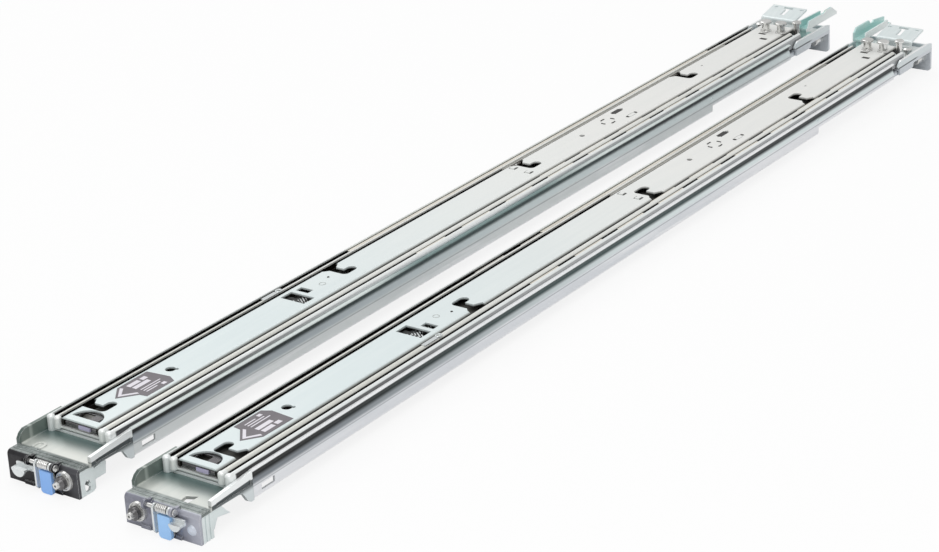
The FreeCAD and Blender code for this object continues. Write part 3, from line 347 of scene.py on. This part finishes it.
# Zones of the outer channel's look, in metres: its dull stretch on the left rail, its bands from the
# top down with the painted shade of the groove and the fold, the painted highlight on the lower edge
# before and behind the step at its rear, and the painted shade on its inner side
DULL_START = (0.2, 0.26)
DULL_END = (0.44, 0.36)
DULL_TOP = (-0.0016, -0.0022)
GROOVE_TOP = (-0.0031, -0.0034)
SLOPE_TOP = {"left": -0.0054, "right": -0.0062}
SLOPE_BLEND = 0.0018
WALL_TOP = (-0.0086, -0.0102)
FOLD_TOP = (-0.0097, -0.0101)
FOLD_FOOT = (-0.0108, -0.0103)
RIM = (-0.0150, -0.0156)
REAR_RIM = (-0.0112, -0.0116)
REAR_STEP = (0.5525, 0.5535)
INNER_SIDE = (0.0206, 0.0203)
INNER_TOP = (-0.0036, -0.0038)
INNER_BAND = (-0.0040, -0.0036)


def channel_material(rail):
    """Roll-formed channel: bright top band, a groove painted near-black as shade, a slope painted
    darker at the front and pale behind, and a streaked lower wall with painted shade along its fold and
    a painted highlight on its rim.
    """
    tree = Tree("channel_" + rail)
    z = tree.depth()
    y = tree.rail_y(rail)
    # The two rails get lighter and darker copies of one finish: painted light and shade
    if rail == "left":
        band = mottled(tree, colour(236, 244, 242), colour(206, 220, 217))
        dull = tree.between(y, DULL_START, DULL_END)
        dull = tree.math("MULTIPLY", dull, tree.step(z, *DULL_TOP))
        band = tree.mix(dull, band, colour(126, 150, 149))
        wall = mottled(tree, colour(228, 232, 232), colour(206, 212, 213), 0.8)
    else:
        band = mottled(tree, colour(252, 253, 254), colour(240, 243, 245))
        wall = mottled(tree, colour(242, 243, 246), colour(218, 222, 227), 0.8)
    streak = tree.step(tree.noise(150.0, 4.0, (1.0, 0.06, 1.0)), 0.52, 0.66)
    wall = tree.mix(tree.math("MULTIPLY", streak, 0.7), wall, colour(252, 253, 255))
    # Painted shade in the groove, near-black at the front
    groove = tree.mix(tree.step(y, 0.05, 0.3), colour(14, 19, 20), colour(64, 82, 82))
    groove = tree.mix(tree.step(y, 0.38, 0.5), groove, colour(36, 44, 46))
    # Painted light and shade on the slope: darker at the front, pale behind
    near = colour(176, 184, 190) if rail == "left" else colour(132, 138, 144)
    slope = tree.mix(tree.step(y, 0.05, 0.4), near, colour(230, 240, 241))
    turn = SLOPE_TOP[rail]
    base = tree.mix(tree.step(z, *GROOVE_TOP), band, groove)
    base = tree.mix(tree.step(z, turn, turn - SLOPE_BLEND), base, slope)
    base = tree.mix(tree.step(z, *WALL_TOP), base, wall)
    # Painted shade along the fold of the lower wall
    fold = tree.between(z, FOLD_TOP, FOLD_FOOT)
    base = tree.mix(tree.math("MULTIPLY", fold, 0.5), base, colour(120, 128, 134))
    # Painted highlight along the lower rim, which starts higher behind the step at the rear
    rear_rim = tree.math("MULTIPLY", tree.step(z, *REAR_RIM), tree.step(y, *REAR_STEP))
    rim = tree.math("MAXIMUM", tree.step(z, *RIM), rear_rim)
    base = tree.mix(tree.math("MULTIPLY", rim, 0.75), base, colour(252, 253, 255))
    # Painted shade in the groove's colour over the inner side below the top
    inside = tree.step(tree.half_width(), *INNER_SIDE)
    low = tree.step(z, *INNER_TOP)
    under = tree.math("MULTIPLY", inside, tree.math("SUBTRACT", 1.0, tree.step(z, *INNER_BAND)))
    base = tree.mix(tree.math("MULTIPLY", under, low), base, groove)
    tree.bump(tree.noise(500.0, 2.0, (1.0, 0.08, 1.0)), 0.1)
    return tree.finish(base, 0.25, 0.34, glint=0.3)


# Zones of the front bracket's look, in metres: the floor's painted shade along the rail, the boss on
# the right rail's plate, the plate's painted sheen, the plate and the bend, the tall side wall with the
# painted highlight on its fold, and the low side wall with its painted highlight and shade
FLOOR_SHADE = (0.010, 0.024)
BOSS_ACROSS = 0.0170
BOSS_DEPTH = 0.0160
BOSS_EDGE = (0.0028, 0.0024)
PLATE_SHINE = (-0.0080, 0.0100)
PLATE_BACK = (0.0028, 0.0016)
BEND_START = (0.0012, 0.0022)
BEND_END = (0.0085, 0.0070)
TALL_SIDE = (-0.0196, -0.0201)
TALL_FOOT = (-0.0078, -0.0072)
TALL_TONE = (0.006, 0.034)
TALL_FOLD_START = (0.0128, 0.0138)
TALL_FOLD_END = (0.0160, 0.0142)
LOW_SIDE = (0.0196, 0.0201)
LOW_FRONT = (0.0080, 0.0090)
LOW_EDGE = (-0.0074, -0.0079)
LOW_TONE = (-0.0086, -0.0118)


def bracket_material(rail):
    """Front bracket: mounting plate, painted near-black as shade on the left rail, with a painted
    sheen, ribbed bend, pale floor with painted shade behind, and side walls with painted highlights,
    the low one also with painted shade.
    """
    tree = Tree("bracket_" + rail)
    x, y, z = tree.rail_x(rail), tree.rail_y(rail), tree.depth()
    floor = mottled(tree, colour(226, 228, 222), colour(196, 203, 198), 0.7)
    # Painted shade over the floor behind its front part
    floor = tree.mix(tree.step(y, *FLOOR_SHADE), floor, colour(104, 124, 122))
    # The two rails' plates are lighter and darker copies of one finish: painted light and shade
    if rail == "left":
        plate = mottled(tree, colour(24, 23, 25), colour(58, 57, 62), 0.7)
    else:
        plate = mottled(tree, colour(158, 160, 172), colour(112, 113, 126), 0.9)
        span = tree.math("POWER", tree.math("SUBTRACT", x, BOSS_ACROSS), 2.0)
        rise = tree.math("POWER", tree.math("ADD", z, BOSS_DEPTH), 2.0)
        boss = tree.step(tree.math("SQRT", tree.math("ADD", span, rise)), *BOSS_EDGE)
        plate = tree.mix(boss, plate, colour(214, 224, 236))
    # Painted sheen across the plate, faint on the left rail
    shine = tree.step(tree.math("ADD", x, tree.math("MULTIPLY", z, 0.7)), *PLATE_SHINE)
    amount = 0.1 if rail == "left" else 0.5
    plate = tree.mix(tree.math("MULTIPLY", shine, amount), plate, colour(206, 208, 218))
    bend = mottled(tree, colour(98, 106, 104), colour(182, 190, 188), 0.9)
    base = tree.mix(tree.step(y, *PLATE_BACK), floor, plate)
    strip = tree.between(y, BEND_START, BEND_END)
    base = tree.mix(strip, base, bend)
    tall = tree.math("MULTIPLY", tree.step(x, *TALL_SIDE), tree.step(z, *TALL_FOOT))
    tone = tree.mix(tree.step(y, *TALL_TONE), colour(88, 102, 97), colour(142, 154, 147))
    # Painted highlight along the tall wall's fold
    fold = tree.between(y, TALL_FOLD_START, TALL_FOLD_END)
    tone = tree.mix(tree.math("MULTIPLY", fold, 0.6), tone, colour(206, 214, 208))
    base = tree.mix(tall, base, tone)
    # Low side wall: a painted highlight along its top, painted shade below it and a pale painted
    # reflection on its lower part
    low = tree.math("MULTIPLY", tree.step(x, *LOW_SIDE), tree.step(y, *LOW_FRONT))
    sunk = tree.step(tree.math("SUBTRACT", z, tree.math("MULTIPLY", y, 0.03)), *LOW_EDGE)
    side = tree.mix(tree.step(z, *LOW_TONE), colour(74, 82, 84), colour(218, 225, 227))
    side = tree.mix(sunk, colour(248, 251, 251), side)
    base = tree.mix(low, base, side)
    tree.bump(tree.noise(500.0, 2.0), 0.06)
    return tree.finish(base, 0.35, 0.3, glint=0.75)


# Zones of the smaller pieces' looks, in metres: the cages' painted shade by height, the rear head by
# height and along the rail, the cable channel across it, and the front pin's painted highlights along
# it
CAGE_DARK = (-0.0026, -0.0034)
HEAD_EDGE = (-0.0036, -0.0032)
HEAD_LOW = (-0.0072, -0.0078)
HEAD_LINE_TOP = (-0.0069, -0.0073)
HEAD_LINE_FOOT = (-0.0082, -0.0077)
HEAD_LINE_END = (0.680, 0.674)
CABLE_MIDDLE = 0.0164
CABLE_INSIDE = (0.0024, 0.0020)
CABLE_FAR_START = (0.0176, 0.0180)
CABLE_FAR_END = (0.0192, 0.0190)
PIN_TIP = (-0.0050, -0.0054)
PIN_COLLAR = (-0.0019, -0.0013)

# Painted highlights in hatching on the lock's leaf: slant, waves, which part of a wave is lit, and on
# which side
HATCH_SLANT = 0.8
HATCH_WAVES = 3600.0
HATCH_LIT = (-0.1, 0.5)
HATCH_SIDE = (-0.0016, -0.0004)


def cage_material():
    """Plated cage: a pale upper edge, its own tone brightened with painted light, and the straps below
    painted near-black as shade.
    """
    tree = Tree("cage")
    top = mottled(tree, colour(250, 246, 238), colour(222, 216, 204))
    base = tree.mix(tree.step(tree.depth(), *CAGE_DARK), top, colour(22, 19, 16))
    return tree.finish(base, 0.2, 0.4)


def lock_material(rail):
    """Leaf in the lock window: painted near-black as shade, with slanting hatching of painted
    highlights along one side.
    """
    tree = Tree("lock_leaf_" + rail)
    slant = tree.math("ADD", tree.y, tree.math("MULTIPLY", tree.x, HATCH_SLANT))
    wave = tree.math("SINE", tree.math("MULTIPLY", slant, HATCH_WAVES))
    side = tree.step(tree.rail_x(rail), *HATCH_SIDE)
    lit = tree.math("MULTIPLY", tree.step(wave, *HATCH_LIT), side)
    rough = tree.step(tree.noise(600.0, 2.0), 0.36, 0.5)
    base = tree.mix(tree.math("MULTIPLY", lit, rough), colour(18, 17, 16), colour(232, 236, 236))
    return tree.finish(base, 0.5, 0.3)


def head_material():
    """Rear bracket: a bright upper edge, a pale band and a grey lower part behind a dark line."""
    tree = Tree("rear_head")
    z = tree.depth()
    band = mottled(tree, colour(226, 233, 235), colour(190, 200, 203))
    low = mottled(tree, colour(214, 219, 224), colour(190, 197, 203))
    base = tree.mix(tree.step(z, *HEAD_EDGE), band, colour(252, 253, 253))
    base = tree.mix(tree.step(z, *HEAD_LOW), base, low)
    line = tree.between(z, HEAD_LINE_TOP, HEAD_LINE_FOOT)
    free = tree.step(tree.rail_y("left"), *HEAD_LINE_END)
    base = tree.mix(tree.math("MULTIPLY", line, free), base, colour(74, 82, 84))
    tree.bump(tree.noise(700.0, 2.0), 0.06)
    return tree.finish(base, 0.3, 0.3, glint=0.6)


def cable_channel_material():
    """Cable arm's channel: white outside, with a blue-green passivated inside."""
    tree = Tree("cable_channel")
    outside = mottled(tree, colour(238, 244, 243), colour(212, 222, 221))
    inside = mottled(tree, colour(206, 236, 232), colour(166, 208, 205), 0.9)
    warm = tree.step(tree.noise(70.0, 2.0), 0.55, 0.7)
    inside = tree.mix(tree.math("MULTIPLY", warm, 0.5), inside, colour(206, 196, 160))
    across = tree.half_width()
    middle = tree.math("ABSOLUTE", tree.math("SUBTRACT", across, CABLE_MIDDLE))
    base = tree.mix(tree.step(middle, *CABLE_INSIDE), outside, inside)
    far = tree.between(across, CABLE_FAR_START, CABLE_FAR_END)
    base = tree.mix(far, base, inside)
    tree.bump(tree.noise(700.0, 2.0), 0.06)
    return tree.finish(base, 0.1, 0.34, glint=0.7)


def pin_material():
    """Front pin: a collar on the plate and a tip painted bright as highlights, and a cone painted
    darker as shade.
    """
    tree = Tree("front_pin")
    y = tree.rail_y("left")
    y = tree.math("SUBTRACT", y, tree.math("MULTIPLY", tree.step(tree.x, -0.001, 0.001), RIGHT_SETBACK))
    bright = mottled(tree, colour(226, 226, 224), colour(176, 176, 175))
    cone = mottled(tree, colour(112, 111, 112), colour(70, 69, 71))
    tip = tree.step(y, *PIN_TIP)
    collar = tree.step(y, *PIN_COLLAR)
    base = tree.mix(tree.math("MAXIMUM", tip, collar), cone, bright)
    return tree.finish(base, 0.6, 0.2, glint=0.5)


def plain_metal(name, pale, deep, metallic, roughness, amount=0.6, glint=0.6):
    tree = Tree(name)
    base = mottled(tree, pale, deep, amount)
    tree.bump(tree.noise(800.0, 2.0), 0.05)
    return tree.finish(base, metallic, roughness, glint=glint)


def plastic(name, tone, shade, roughness):
    tree = Tree(name)
    base = tree.mix(tree.noise(180.0, 3.0), tone, shade)
    tree.bump(tree.noise(2400.0, 2.0), 0.12, 0.00002)
    return tree.finish(base, 0.0, roughness, glint=0.25)


# Looks of the small pieces, by name, and of the pieces with a colour of their own
PLAIN = {
    "bright": plain_metal("bright", colour(236, 240, 240), colour(204, 210, 212), 0.55, 0.22),
    "chrome": plain_metal("chrome", colour(236, 236, 234), colour(190, 190, 187), 0.85, 0.13),
    "pin": pin_material(),
    # Rear latch: bright chrome, brightened further with painted light against its shade
    "gleam": plain_metal("gleam", colour(252, 253, 253), colour(214, 219, 221), 0.1, 0.3, 0.9, 0.9),
    "dark_chrome": plain_metal("dark_chrome", colour(130, 128, 130), colour(70, 68, 72), 0.8, 0.2),
    "cage": cage_material(),
    "cable_channel": cable_channel_material(),
    "pale": plain_metal("pale", colour(232, 240, 240), colour(208, 219, 220), 0.3, 0.32),
    "head": head_material(),
    "label": plain_metal("label", colour(112, 107, 112), colour(96, 91, 97), 0.0, 0.35, glint=0.0),
    "print": plain_metal("print", colour(232, 229, 236), colour(216, 212, 220), 0.0, 0.4, glint=0.0),
    "strip": plain_metal("strip", colour(232, 227, 216), colour(198, 190, 176), 0.2, 0.4),
    # A darker copy of the strip: painted shade
    "shaded_strip": plain_metal("shaded_strip", colour(172, 171, 165), colour(136, 134, 128), 0.2, 0.4),
    # Near-black, for the panel's small marks and for the plates and slits that stand for shade
    "mark": plain_metal("mark", colour(46, 44, 42), colour(30, 28, 26), 0.3, 0.4, glint=0.0),
    "faint": plain_metal("faint", colour(196, 200, 198), colour(176, 181, 179), 0.3, 0.4, glint=0.0),
}
# One plastic on both rails, painted lighter on the right and darker on the left: painted light and
# shade
BLUE = {
    "left": plastic("blue_left", colour(145, 192, 252), colour(138, 184, 246), 0.45),
    "right": plastic("blue_right", colour(166, 210, 255), colour(158, 202, 250), 0.45),
}
LAVENDER = plastic("lavender", colour(190, 186, 212), colour(176, 172, 200), 0.4)


def paint(node, material):
    mesh = nodes[node].data
    mesh.materials.clear()
    mesh.materials.append(material)


def paint_cad():
    plain = {
        "side_guard": "pale", "front_mount_pin": "pin", "latch_pivot_pin": "chrome",
        "latch_spring": "chrome", "front_latch": "bright", "rivets": "chrome",
        "stop_stud": "chrome", "t_slot_plate": "pale", "cable_arm_channel": "cable_channel",
        "rear_screw": "chrome", "outer_cage": "cage", "outer_balls": "chrome",
        "inner_cage": "cage", "inner_balls": "chrome", "server_studs": "chrome",
        "front_stop": "dark_chrome", "rear_bracket": "head",
        "rear_mount_pins": "chrome", "rear_latch_pin": "chrome", "rear_latch": "gleam",
        "rear_latch_spring": "chrome", "label": "label",
    }
    for rail in RAILS:
        for node, name in plain.items():
            paint(rail + "_" + node, PLAIN[name])
        paint(rail + "_inner_member", panel_material(rail))
        paint(rail + "_middle_member", middle_material(rail))
        paint(rail + "_outer_member", outer_material(rail))
        paint(rail + "_outer_channel", channel_material(rail))
        paint(rail + "_front_bracket", bracket_material(rail))
        paint(rail + "_release_tab", BLUE[rail])
        paint(rail + "_lever_pad", LAVENDER)
        paint(rail + "_slide_lock", lock_material(rail))


def piece(name, points, faces, material, body, smooth=False):
    """A mesh in the part's frame that moves with one body."""
    shape = bmesh.new()
    made = [shape.verts.new(point) for point in points]
    for face in faces:
        shape.faces.new([made[i] for i in face])
    bmesh.ops.recalc_face_normals(shape, faces=shape.faces)
    for face in shape.faces:
        face.smooth = smooth
    mesh = bpy.data.meshes.new(name)
    shape.to_mesh(mesh)
    shape.free()
    mesh.materials.append(material)
    item = bpy.data.objects.new(name, mesh)
    bpy.context.scene.collection.objects.link(item)
    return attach(item, body)


def rectangle(x, y, width, length):
    """Corners of a rectangle about a point, width across the rail and length along it."""
    return [(x - width / 2, y - length / 2), (x + width / 2, y - length / 2),
            (x + width / 2, y + length / 2), (x - width / 2, y + length / 2)]


def prism(name, rail, outline, low, high, material, body):
    """Upright prism over an outline of (x, y) points of one rail."""
    count = len(outline)
    points = [at(rail, x, y, z) for z in (low, high) for x, y in outline]
    faces = [tuple(range(count)), tuple(range(count, 2 * count))]
    for i in range(count):
        after = (i + 1) % count
        faces.append((i, after, after + count, i + count))
    return piece(name, points, faces, material, body)


# Faces round a wire, points round an oval, and points in a turn of a coil
WIRE_SIDES = 10
OVAL_STEPS = 24
COIL_STEPS = 18

# Pitch of a close-wound coil, in wire radii
COIL_PITCH = 2.15


def wire(name, path, radius, material, body, closed=False):
    """Round wire along a path of points, a closed ring or with capped ends."""
    points, faces = [], []
    count = len(path)
    around = WIRE_SIDES
    normal = None
    for i, place in enumerate(path):
        before = path[i - 1] if i or closed else place
        after = path[(i + 1) % count] if closed or i + 1 < count else place
        forward = (after - before).normalized()
        if normal is None:
            normal = forward.orthogonal()
        normal = (normal - forward * normal.dot(forward)).normalized()
        across = forward.cross(normal)
        for k in range(around):
            turn = 2 * math.pi * k / around
            points.append(place + (normal * math.cos(turn) + across * math.sin(turn)) * radius)
    for i in range(count if closed else count - 1):
        first, second = i * around, (i + 1) % count * around
        for k in range(around):
            after = (k + 1) % around
            faces.append((first + k, first + after, second + after, second + k))
    if not closed:
        faces += [tuple(range(around)), tuple(range((count - 1) * around, count * around))]
    return piece(name, points, faces, material, body, smooth=True)


def oval(rail, x, y, width, length, z):
    """Points of a flat ring of one rail, width across and length along it."""
    ring = []
    for i in range(OVAL_STEPS):
        turn = 2 * math.pi * i / OVAL_STEPS
        ring.append(at(rail, x + math.cos(turn) * width / 2, y + math.sin(turn) * length / 2, z))
    return ring


# Springs, in millimetres: from and to across the rail, the axis from the plate and from the panel,
# the coil's and the wire's radius, and where both legs end, from the plate and from the panel
LATCH_SPRING = (0.6, 6.4, -2.4, -8.3, 1.55, 0.42, (-0.85, -10.0))
REAR_LATCH_SPRING = (3.5, 7.6, 693.5, -16.2, 1.8, 0.4, (695.3, -12.0))


def torsion_spring(rail, node, sizes, body):
    """Close-wound spring about a pivot, with one leg at each end, in the place of a CAD sleeve."""
    node = rail + "_" + node
    x0, x1, y, z, radius, wire_radius, leg = sizes
    turns = round((x1 - x0) / (wire_radius * COIL_PITCH))
    path = [at(rail, x0, *leg)]
    for i in range(turns * COIL_STEPS + 1):
        turn = 2 * math.pi * i / COIL_STEPS - math.pi / 2
        x = x0 + (x1 - x0) * i / (turns * COIL_STEPS)
        path.append(at(rail, x, y - math.sin(turn) * radius, z + math.cos(turn) * radius))
    path.append(at(rail, x1, *leg))
    spring = wire(node + "_coil", path, wire_radius * MM, PLAIN["chrome"], body)
    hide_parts(node)


def make_springs(rail):
    torsion_spring(rail, "latch_spring", LATCH_SPRING, "root")
    torsion_spring(rail, "rear_latch_spring", REAR_LATCH_SPRING, rail + "_rear_bracket")


# Label marks, in millimetres, mirrored on the left rail: the chevron as points (across, from the
# plate), and the bars as (across from, across to, from the plate, to)
CHEVRON = ((7.6, 60.8), (2.2, 53.5), (-4.0, 61.2), (-2.4, 61.6), (2.2, 56.0), (6.0, 61.4))
LABEL_BARS = ((4.0, 6.6, 64.0, 71.5), (4.0, 6.6, 73.0, 76.5), (0.4, 3.0, 64.0, 74.5),
              (-2.4, -1.7, 64.5, 78.0), (-4.2, -3.5, 64.5, 76.0), (-6.0, -5.3, 64.5, 72.0),
              (-7.4, -5.4, 74.5, 77.0))
LABEL_MARK_FOOT = 0.15
LABEL_MARK_TOP = 0.18


def make_label_marks(rail):
    """A plain chevron and bars on the label."""
    side = RAILS[rail]
    body = rail + "_inner"
    outlines = [CHEVRON]
    outlines += [((a, c), (b, c), (b, d), (a, d)) for a, b, c, d in LABEL_BARS]
    for i, outline in enumerate(outlines):
        prism("%s_label_mark_%d" % (rail, i + 1), rail, [(side * u, y) for u, y in outline],
              LABEL_MARK_FOOT, LABEL_MARK_TOP, PLAIN["print"], body)


# The server panel's marks, in millimetres, with x across the rail and y from the plate: lances as
# (x, y) with the width and length of their slit and bridge; four arcs about a centre, as
# (x, y, half width, half length), with the angle, points and wire radius of each; rings as
# (name, x, y, width, length, wire radius, look); and a dot, mirrored on the left rail
LANCES = ((-6.9, 383.6), (4.2, 382.4))
LANCE_SLIT = (4.4, 3.6)
LANCE_BRIDGE = (2.6, 3.4)
LANCE_FOOT = 0.03
LANCE_TOP = 0.5
CENTRE = (-1.0, 472.2, 3.9, 5.0)
CENTRE_ARC = 0.7
CENTRE_POINTS = 9
CENTRE_WIRE = 0.4
RINGS = (
    ("embossed_slot", 5.1, 488.5, 3.0, 9.6, 0.16, "faint"),
    ("embossed_end_1", 5.1, 484.2, 1.8, 0.9, 0.3, "mark"),
    ("embossed_end_2", 5.1, 492.8, 1.8, 0.9, 0.3, "mark"),
    ("ring_mark", -0.4, 203.4, 3.2, 3.4, 0.2, "faint"),
)
DOT = ("dot_mark", 3.0, 211.6, 0.7, 0.9, 0.3, "mark")


def make_panel_marks(rail):
    """Small lances, embossings and centre marks on the server panel."""
    body = rail + "_inner"
    panel = nodes[rail + "_inner_member"].data.materials[0]
    for i, (x, y) in enumerate(LANCES):
        name = "%s_lance_%d" % (rail, i + 1)
        slit = rectangle(x, y, *LANCE_SLIT)
        bridge = rectangle(x, y, *LANCE_BRIDGE)
        # The slit is a thin near-black sheet: painted shade under the lance's bridge
        prism(name + "_slit", rail, slit, 0.0, LANCE_FOOT, PLAIN["mark"], body)
        prism(name + "_bridge", rail, bridge, LANCE_FOOT, LANCE_TOP, panel, body)
    x, y, half_width, half_length = CENTRE
    for i in range(4):
        middle = math.pi / 2 * i
        arc = []
        for k in range(CENTRE_POINTS):
            turn = middle + (k / (CENTRE_POINTS - 1) - 0.5) * CENTRE_ARC
            arc.append(at(rail, x + half_width * math.sin(turn), y + half_length * math.cos(turn), 0.0))
        wire("%s_centre_mark_%d" % (rail, i + 1), arc, CENTRE_WIRE * MM, PLAIN["mark"], body)
    dot = (DOT[0], RAILS[rail] * DOT[1], *DOT[2:])
    for name, x, y, width, length, radius, look in (*RINGS, dot):
        ring = oval(rail, x, y, width, length, 0.0)
        wire(rail + "_" + name, ring, radius * MM, PLAIN[look], body, closed=True)


# Clip on the middle member's lip, in millimetres, mirrored on the left rail: its tongue as points
# (across, behind the lip's step) with its foot and top, and its ring as (across, behind the step,
# width, length, height over the panel plane) with its wire's radius
LIP_TONGUE = ((12.9, 0.0), (15.3, 0.0), (15.3, 10.0), (12.9, 10.6))
LIP_TONGUE_FOOT = -0.15
LIP_TONGUE_TOP = 0.2
LIP_RING = (14.1, 12.4, 2.6, 3.4, 0.15)
LIP_RING_WIRE = 0.45


def make_lip_clip(rail):
    """Clip on the middle member's lip: a flat tongue that ends in a small ring."""
    side = RAILS[rail]
    body = rail + "_middle"
    start = LIP_STEP / MM
    tongue = [(side * x, start + y) for x, y in LIP_TONGUE]
    prism(rail + "_lip_tongue", rail, tongue, LIP_TONGUE_FOOT, LIP_TONGUE_TOP, PLAIN["bright"],
          body)
    x, y, width, length, height = LIP_RING
    ring = oval(rail, side * x, start + y, width, length, height)
    wire(rail + "_lip_ring", ring, LIP_RING_WIRE * MM, PLAIN["bright"], body, closed=True)


# Slot shades of the server panel, as (x, y, width, length), and their foot and top, in millimetres
SLOT_SHADES = ((-1.1, 654.9, 5.0, 2.4), (4.5, 646.1, 4.8, 2.8), (-5.5, 488.9, 3.6, 8.4))
SHADE_FOOT = -0.02
SHADE_TOP = 0.015


def make_slot_shades(rail):
    """Painted shade: thin near-black plates at the edges of the two slots at the panel's rear end and
    of the slot behind the centre marks.
    """
    for i, shade in enumerate(SLOT_SHADES):
        prism("%s_slot_shade_%d" % (rail, i + 1), rail, rectangle(*shade), SHADE_FOOT, SHADE_TOP,
              PLAIN["mark"], rail + "_inner")


# Ball cages, in millimetres: window and pitch along the rail, where each edge starts and ends, and
# its cross-section as (from, to) across the rail and its top. A letter names each side of the rail.
CAGE_SIDES = {-1: "a", 1: "b"}
CAGE_WINDOW = 15.7
CAGE_PITCH = 40.9
CAGE_EDGE_HEIGHT = 0.35
INNER_EDGE = (381.7, 627.0)
INNER_STRETCHES = 6
INNER_SECTION = (11.75, 12.9, -0.8)
OUTER_EDGE = {"left": (246.0, 613.0), "right": (320.0, 613.0)}
OUTER_STRETCHES = 9
OUTER_FIRST = OUTER_EDGE["left"][0] + 14.7
OUTER_SECTION = (15.8, 17.5, -1.15)


def make_cage_edge(rail, cage, side, low, high, shape, material):
    """One stretch of a cage's rolled upper edge, which shows in the slide's gap."""
    x0, x1, top = shape
    outline = [(side * x0, low), (side * x1, low), (side * x1, high), (side * x0, high)]
    name = "%s_%s_cage_edge_%s_%d" % (rail, cage, CAGE_SIDES[side], low)
    body = "%s_%s_cage" % (rail, cage)
    prism(name, rail, outline, top - CAGE_EDGE_HEIGHT, top, material, body)


def make_cage_edges(rail):
    """Cage edges: whole on one side of the rail, between the ball windows on the other."""
    # The inner cage's whole edge takes the darker copy of the strip: painted shade
    make_cage_edge(rail, "inner", -1, *INNER_EDGE, INNER_SECTION, PLAIN["shaded_strip"])
    make_cage_edge(rail, "outer", -1, *OUTER_EDGE[rail], OUTER_SECTION, PLAIN["strip"])
    length = CAGE_PITCH - CAGE_WINDOW
    for i in range(INNER_STRETCHES):
        start = INNER_EDGE[0] + i * CAGE_PITCH
        make_cage_edge(rail, "inner", 1, start, start + length, INNER_SECTION, PLAIN["strip"])
    for i in range(OUTER_STRETCHES):
        start = OUTER_FIRST + i * CAGE_PITCH
        make_cage_edge(rail, "outer", 1, start, start + length, OUTER_SECTION, PLAIN["strip"])


def make_pieces():
    for rail in RAILS:
        make_slot_shades(rail)
        make_cage_edges(rail)
        make_springs(rail)
        make_label_marks(rail)
        make_panel_marks(rail)
        make_lip_clip(rail)


# Floor: half its size in metres, its tone, and how much of its own white the camera sees
FLOOR_HALF = 6.0
FLOOR_TONE = 0.9
FLOOR_GLOW = 0.86

# The world's light on the object, and its strength as the camera sees it
WORLD_LIGHT = 0.62
WORLD_WHITE = 1.0

# Lamps, as (name, place and size in metres, power in watts)
LAMPS = (
    ("key", (0.6, -1.0, 1.9), 1.8, 17.0),
    ("fill", (-1.2, 0.6, 1.7), 1.6, 9.0),
)


def stage_material():
    """White floor that keeps a faint shadow of the object."""
    material = bpy.data.materials.new("floor_white")
    material.use_nodes = True
    tree = material.node_tree
    tree.nodes.clear()
    output = tree.nodes.new("ShaderNodeOutputMaterial")
    diffuse = tree.nodes.new("ShaderNodeBsdfDiffuse")
    diffuse.inputs["Color"].default_value = (FLOOR_TONE, FLOOR_TONE, FLOOR_TONE, 1.0)
    glow = tree.nodes.new("ShaderNodeEmission")
    path = tree.nodes.new("ShaderNodeLightPath")
    seen = tree.nodes.new("ShaderNodeMath")
    seen.operation = "MAXIMUM"
    tree.links.new(path.outputs["Is Camera Ray"], seen.inputs[0])
    tree.links.new(path.outputs["Is Transmission Ray"], seen.inputs[1])
    share = tree.nodes.new("ShaderNodeMath")
    share.operation = "MULTIPLY"
    share.inputs[1].default_value = FLOOR_GLOW
    tree.links.new(seen.outputs[0], share.inputs[0])
    mix = tree.nodes.new("ShaderNodeMixShader")
    tree.links.new(share.outputs[0], mix.inputs[0])
    tree.links.new(diffuse.outputs[0], mix.inputs[1])
    tree.links.new(glow.outputs[0], mix.inputs[2])
    tree.links.new(mix.outputs[0], output.inputs["Surface"])
    return material


def make_stage():
    mesh = bpy.data.meshes.new("floor")
    half = FLOOR_HALF
    corners = [(-half, -half, 0), (half, -half, 0), (half, half, 0), (-half, half, 0)]
    mesh.from_pydata(corners, [], [(0, 1, 2, 3)])
    floor = bpy.data.objects.new("floor", mesh)
    mesh.materials.append(stage_material())
    bpy.context.scene.collection.objects.link(floor)


def make_lights():
    world = bpy.data.worlds.new("studio")
    bpy.context.scene.world = world
    world.use_nodes = True
    tree = world.node_tree
    background = tree.nodes["Background"]
    background.inputs["Color"].default_value = (1.0, 1.0, 1.0, 1.0)
    path = tree.nodes.new("ShaderNodeLightPath")
    level = tree.nodes.new("ShaderNodeMapRange")
    level.inputs["To Min"].default_value = WORLD_LIGHT
    level.inputs["To Max"].default_value = WORLD_WHITE
    tree.links.new(path.outputs["Is Camera Ray"], level.inputs["Value"])
    tree.links.new(level.outputs["Result"], background.inputs["Strength"])
    for name, place, size, power in LAMPS:
        data = bpy.data.lights.new(name, "AREA")
        data.shape = "DISK"
        data.size = size
        data.energy = power
        lamp = bpy.data.objects.new(name, data)
        lamp.location = place
        aim = Vector((0, 0, 0)) - Vector(place)
        lamp.rotation_euler = aim.to_track_quat("-Z", "Y").to_euler()
        bpy.context.scene.collection.objects.link(lamp)


make_camera()
paint_cad()
make_pieces()
make_stage()
make_lights()
bpy.context.scene.view_settings.view_transform = "Standard"
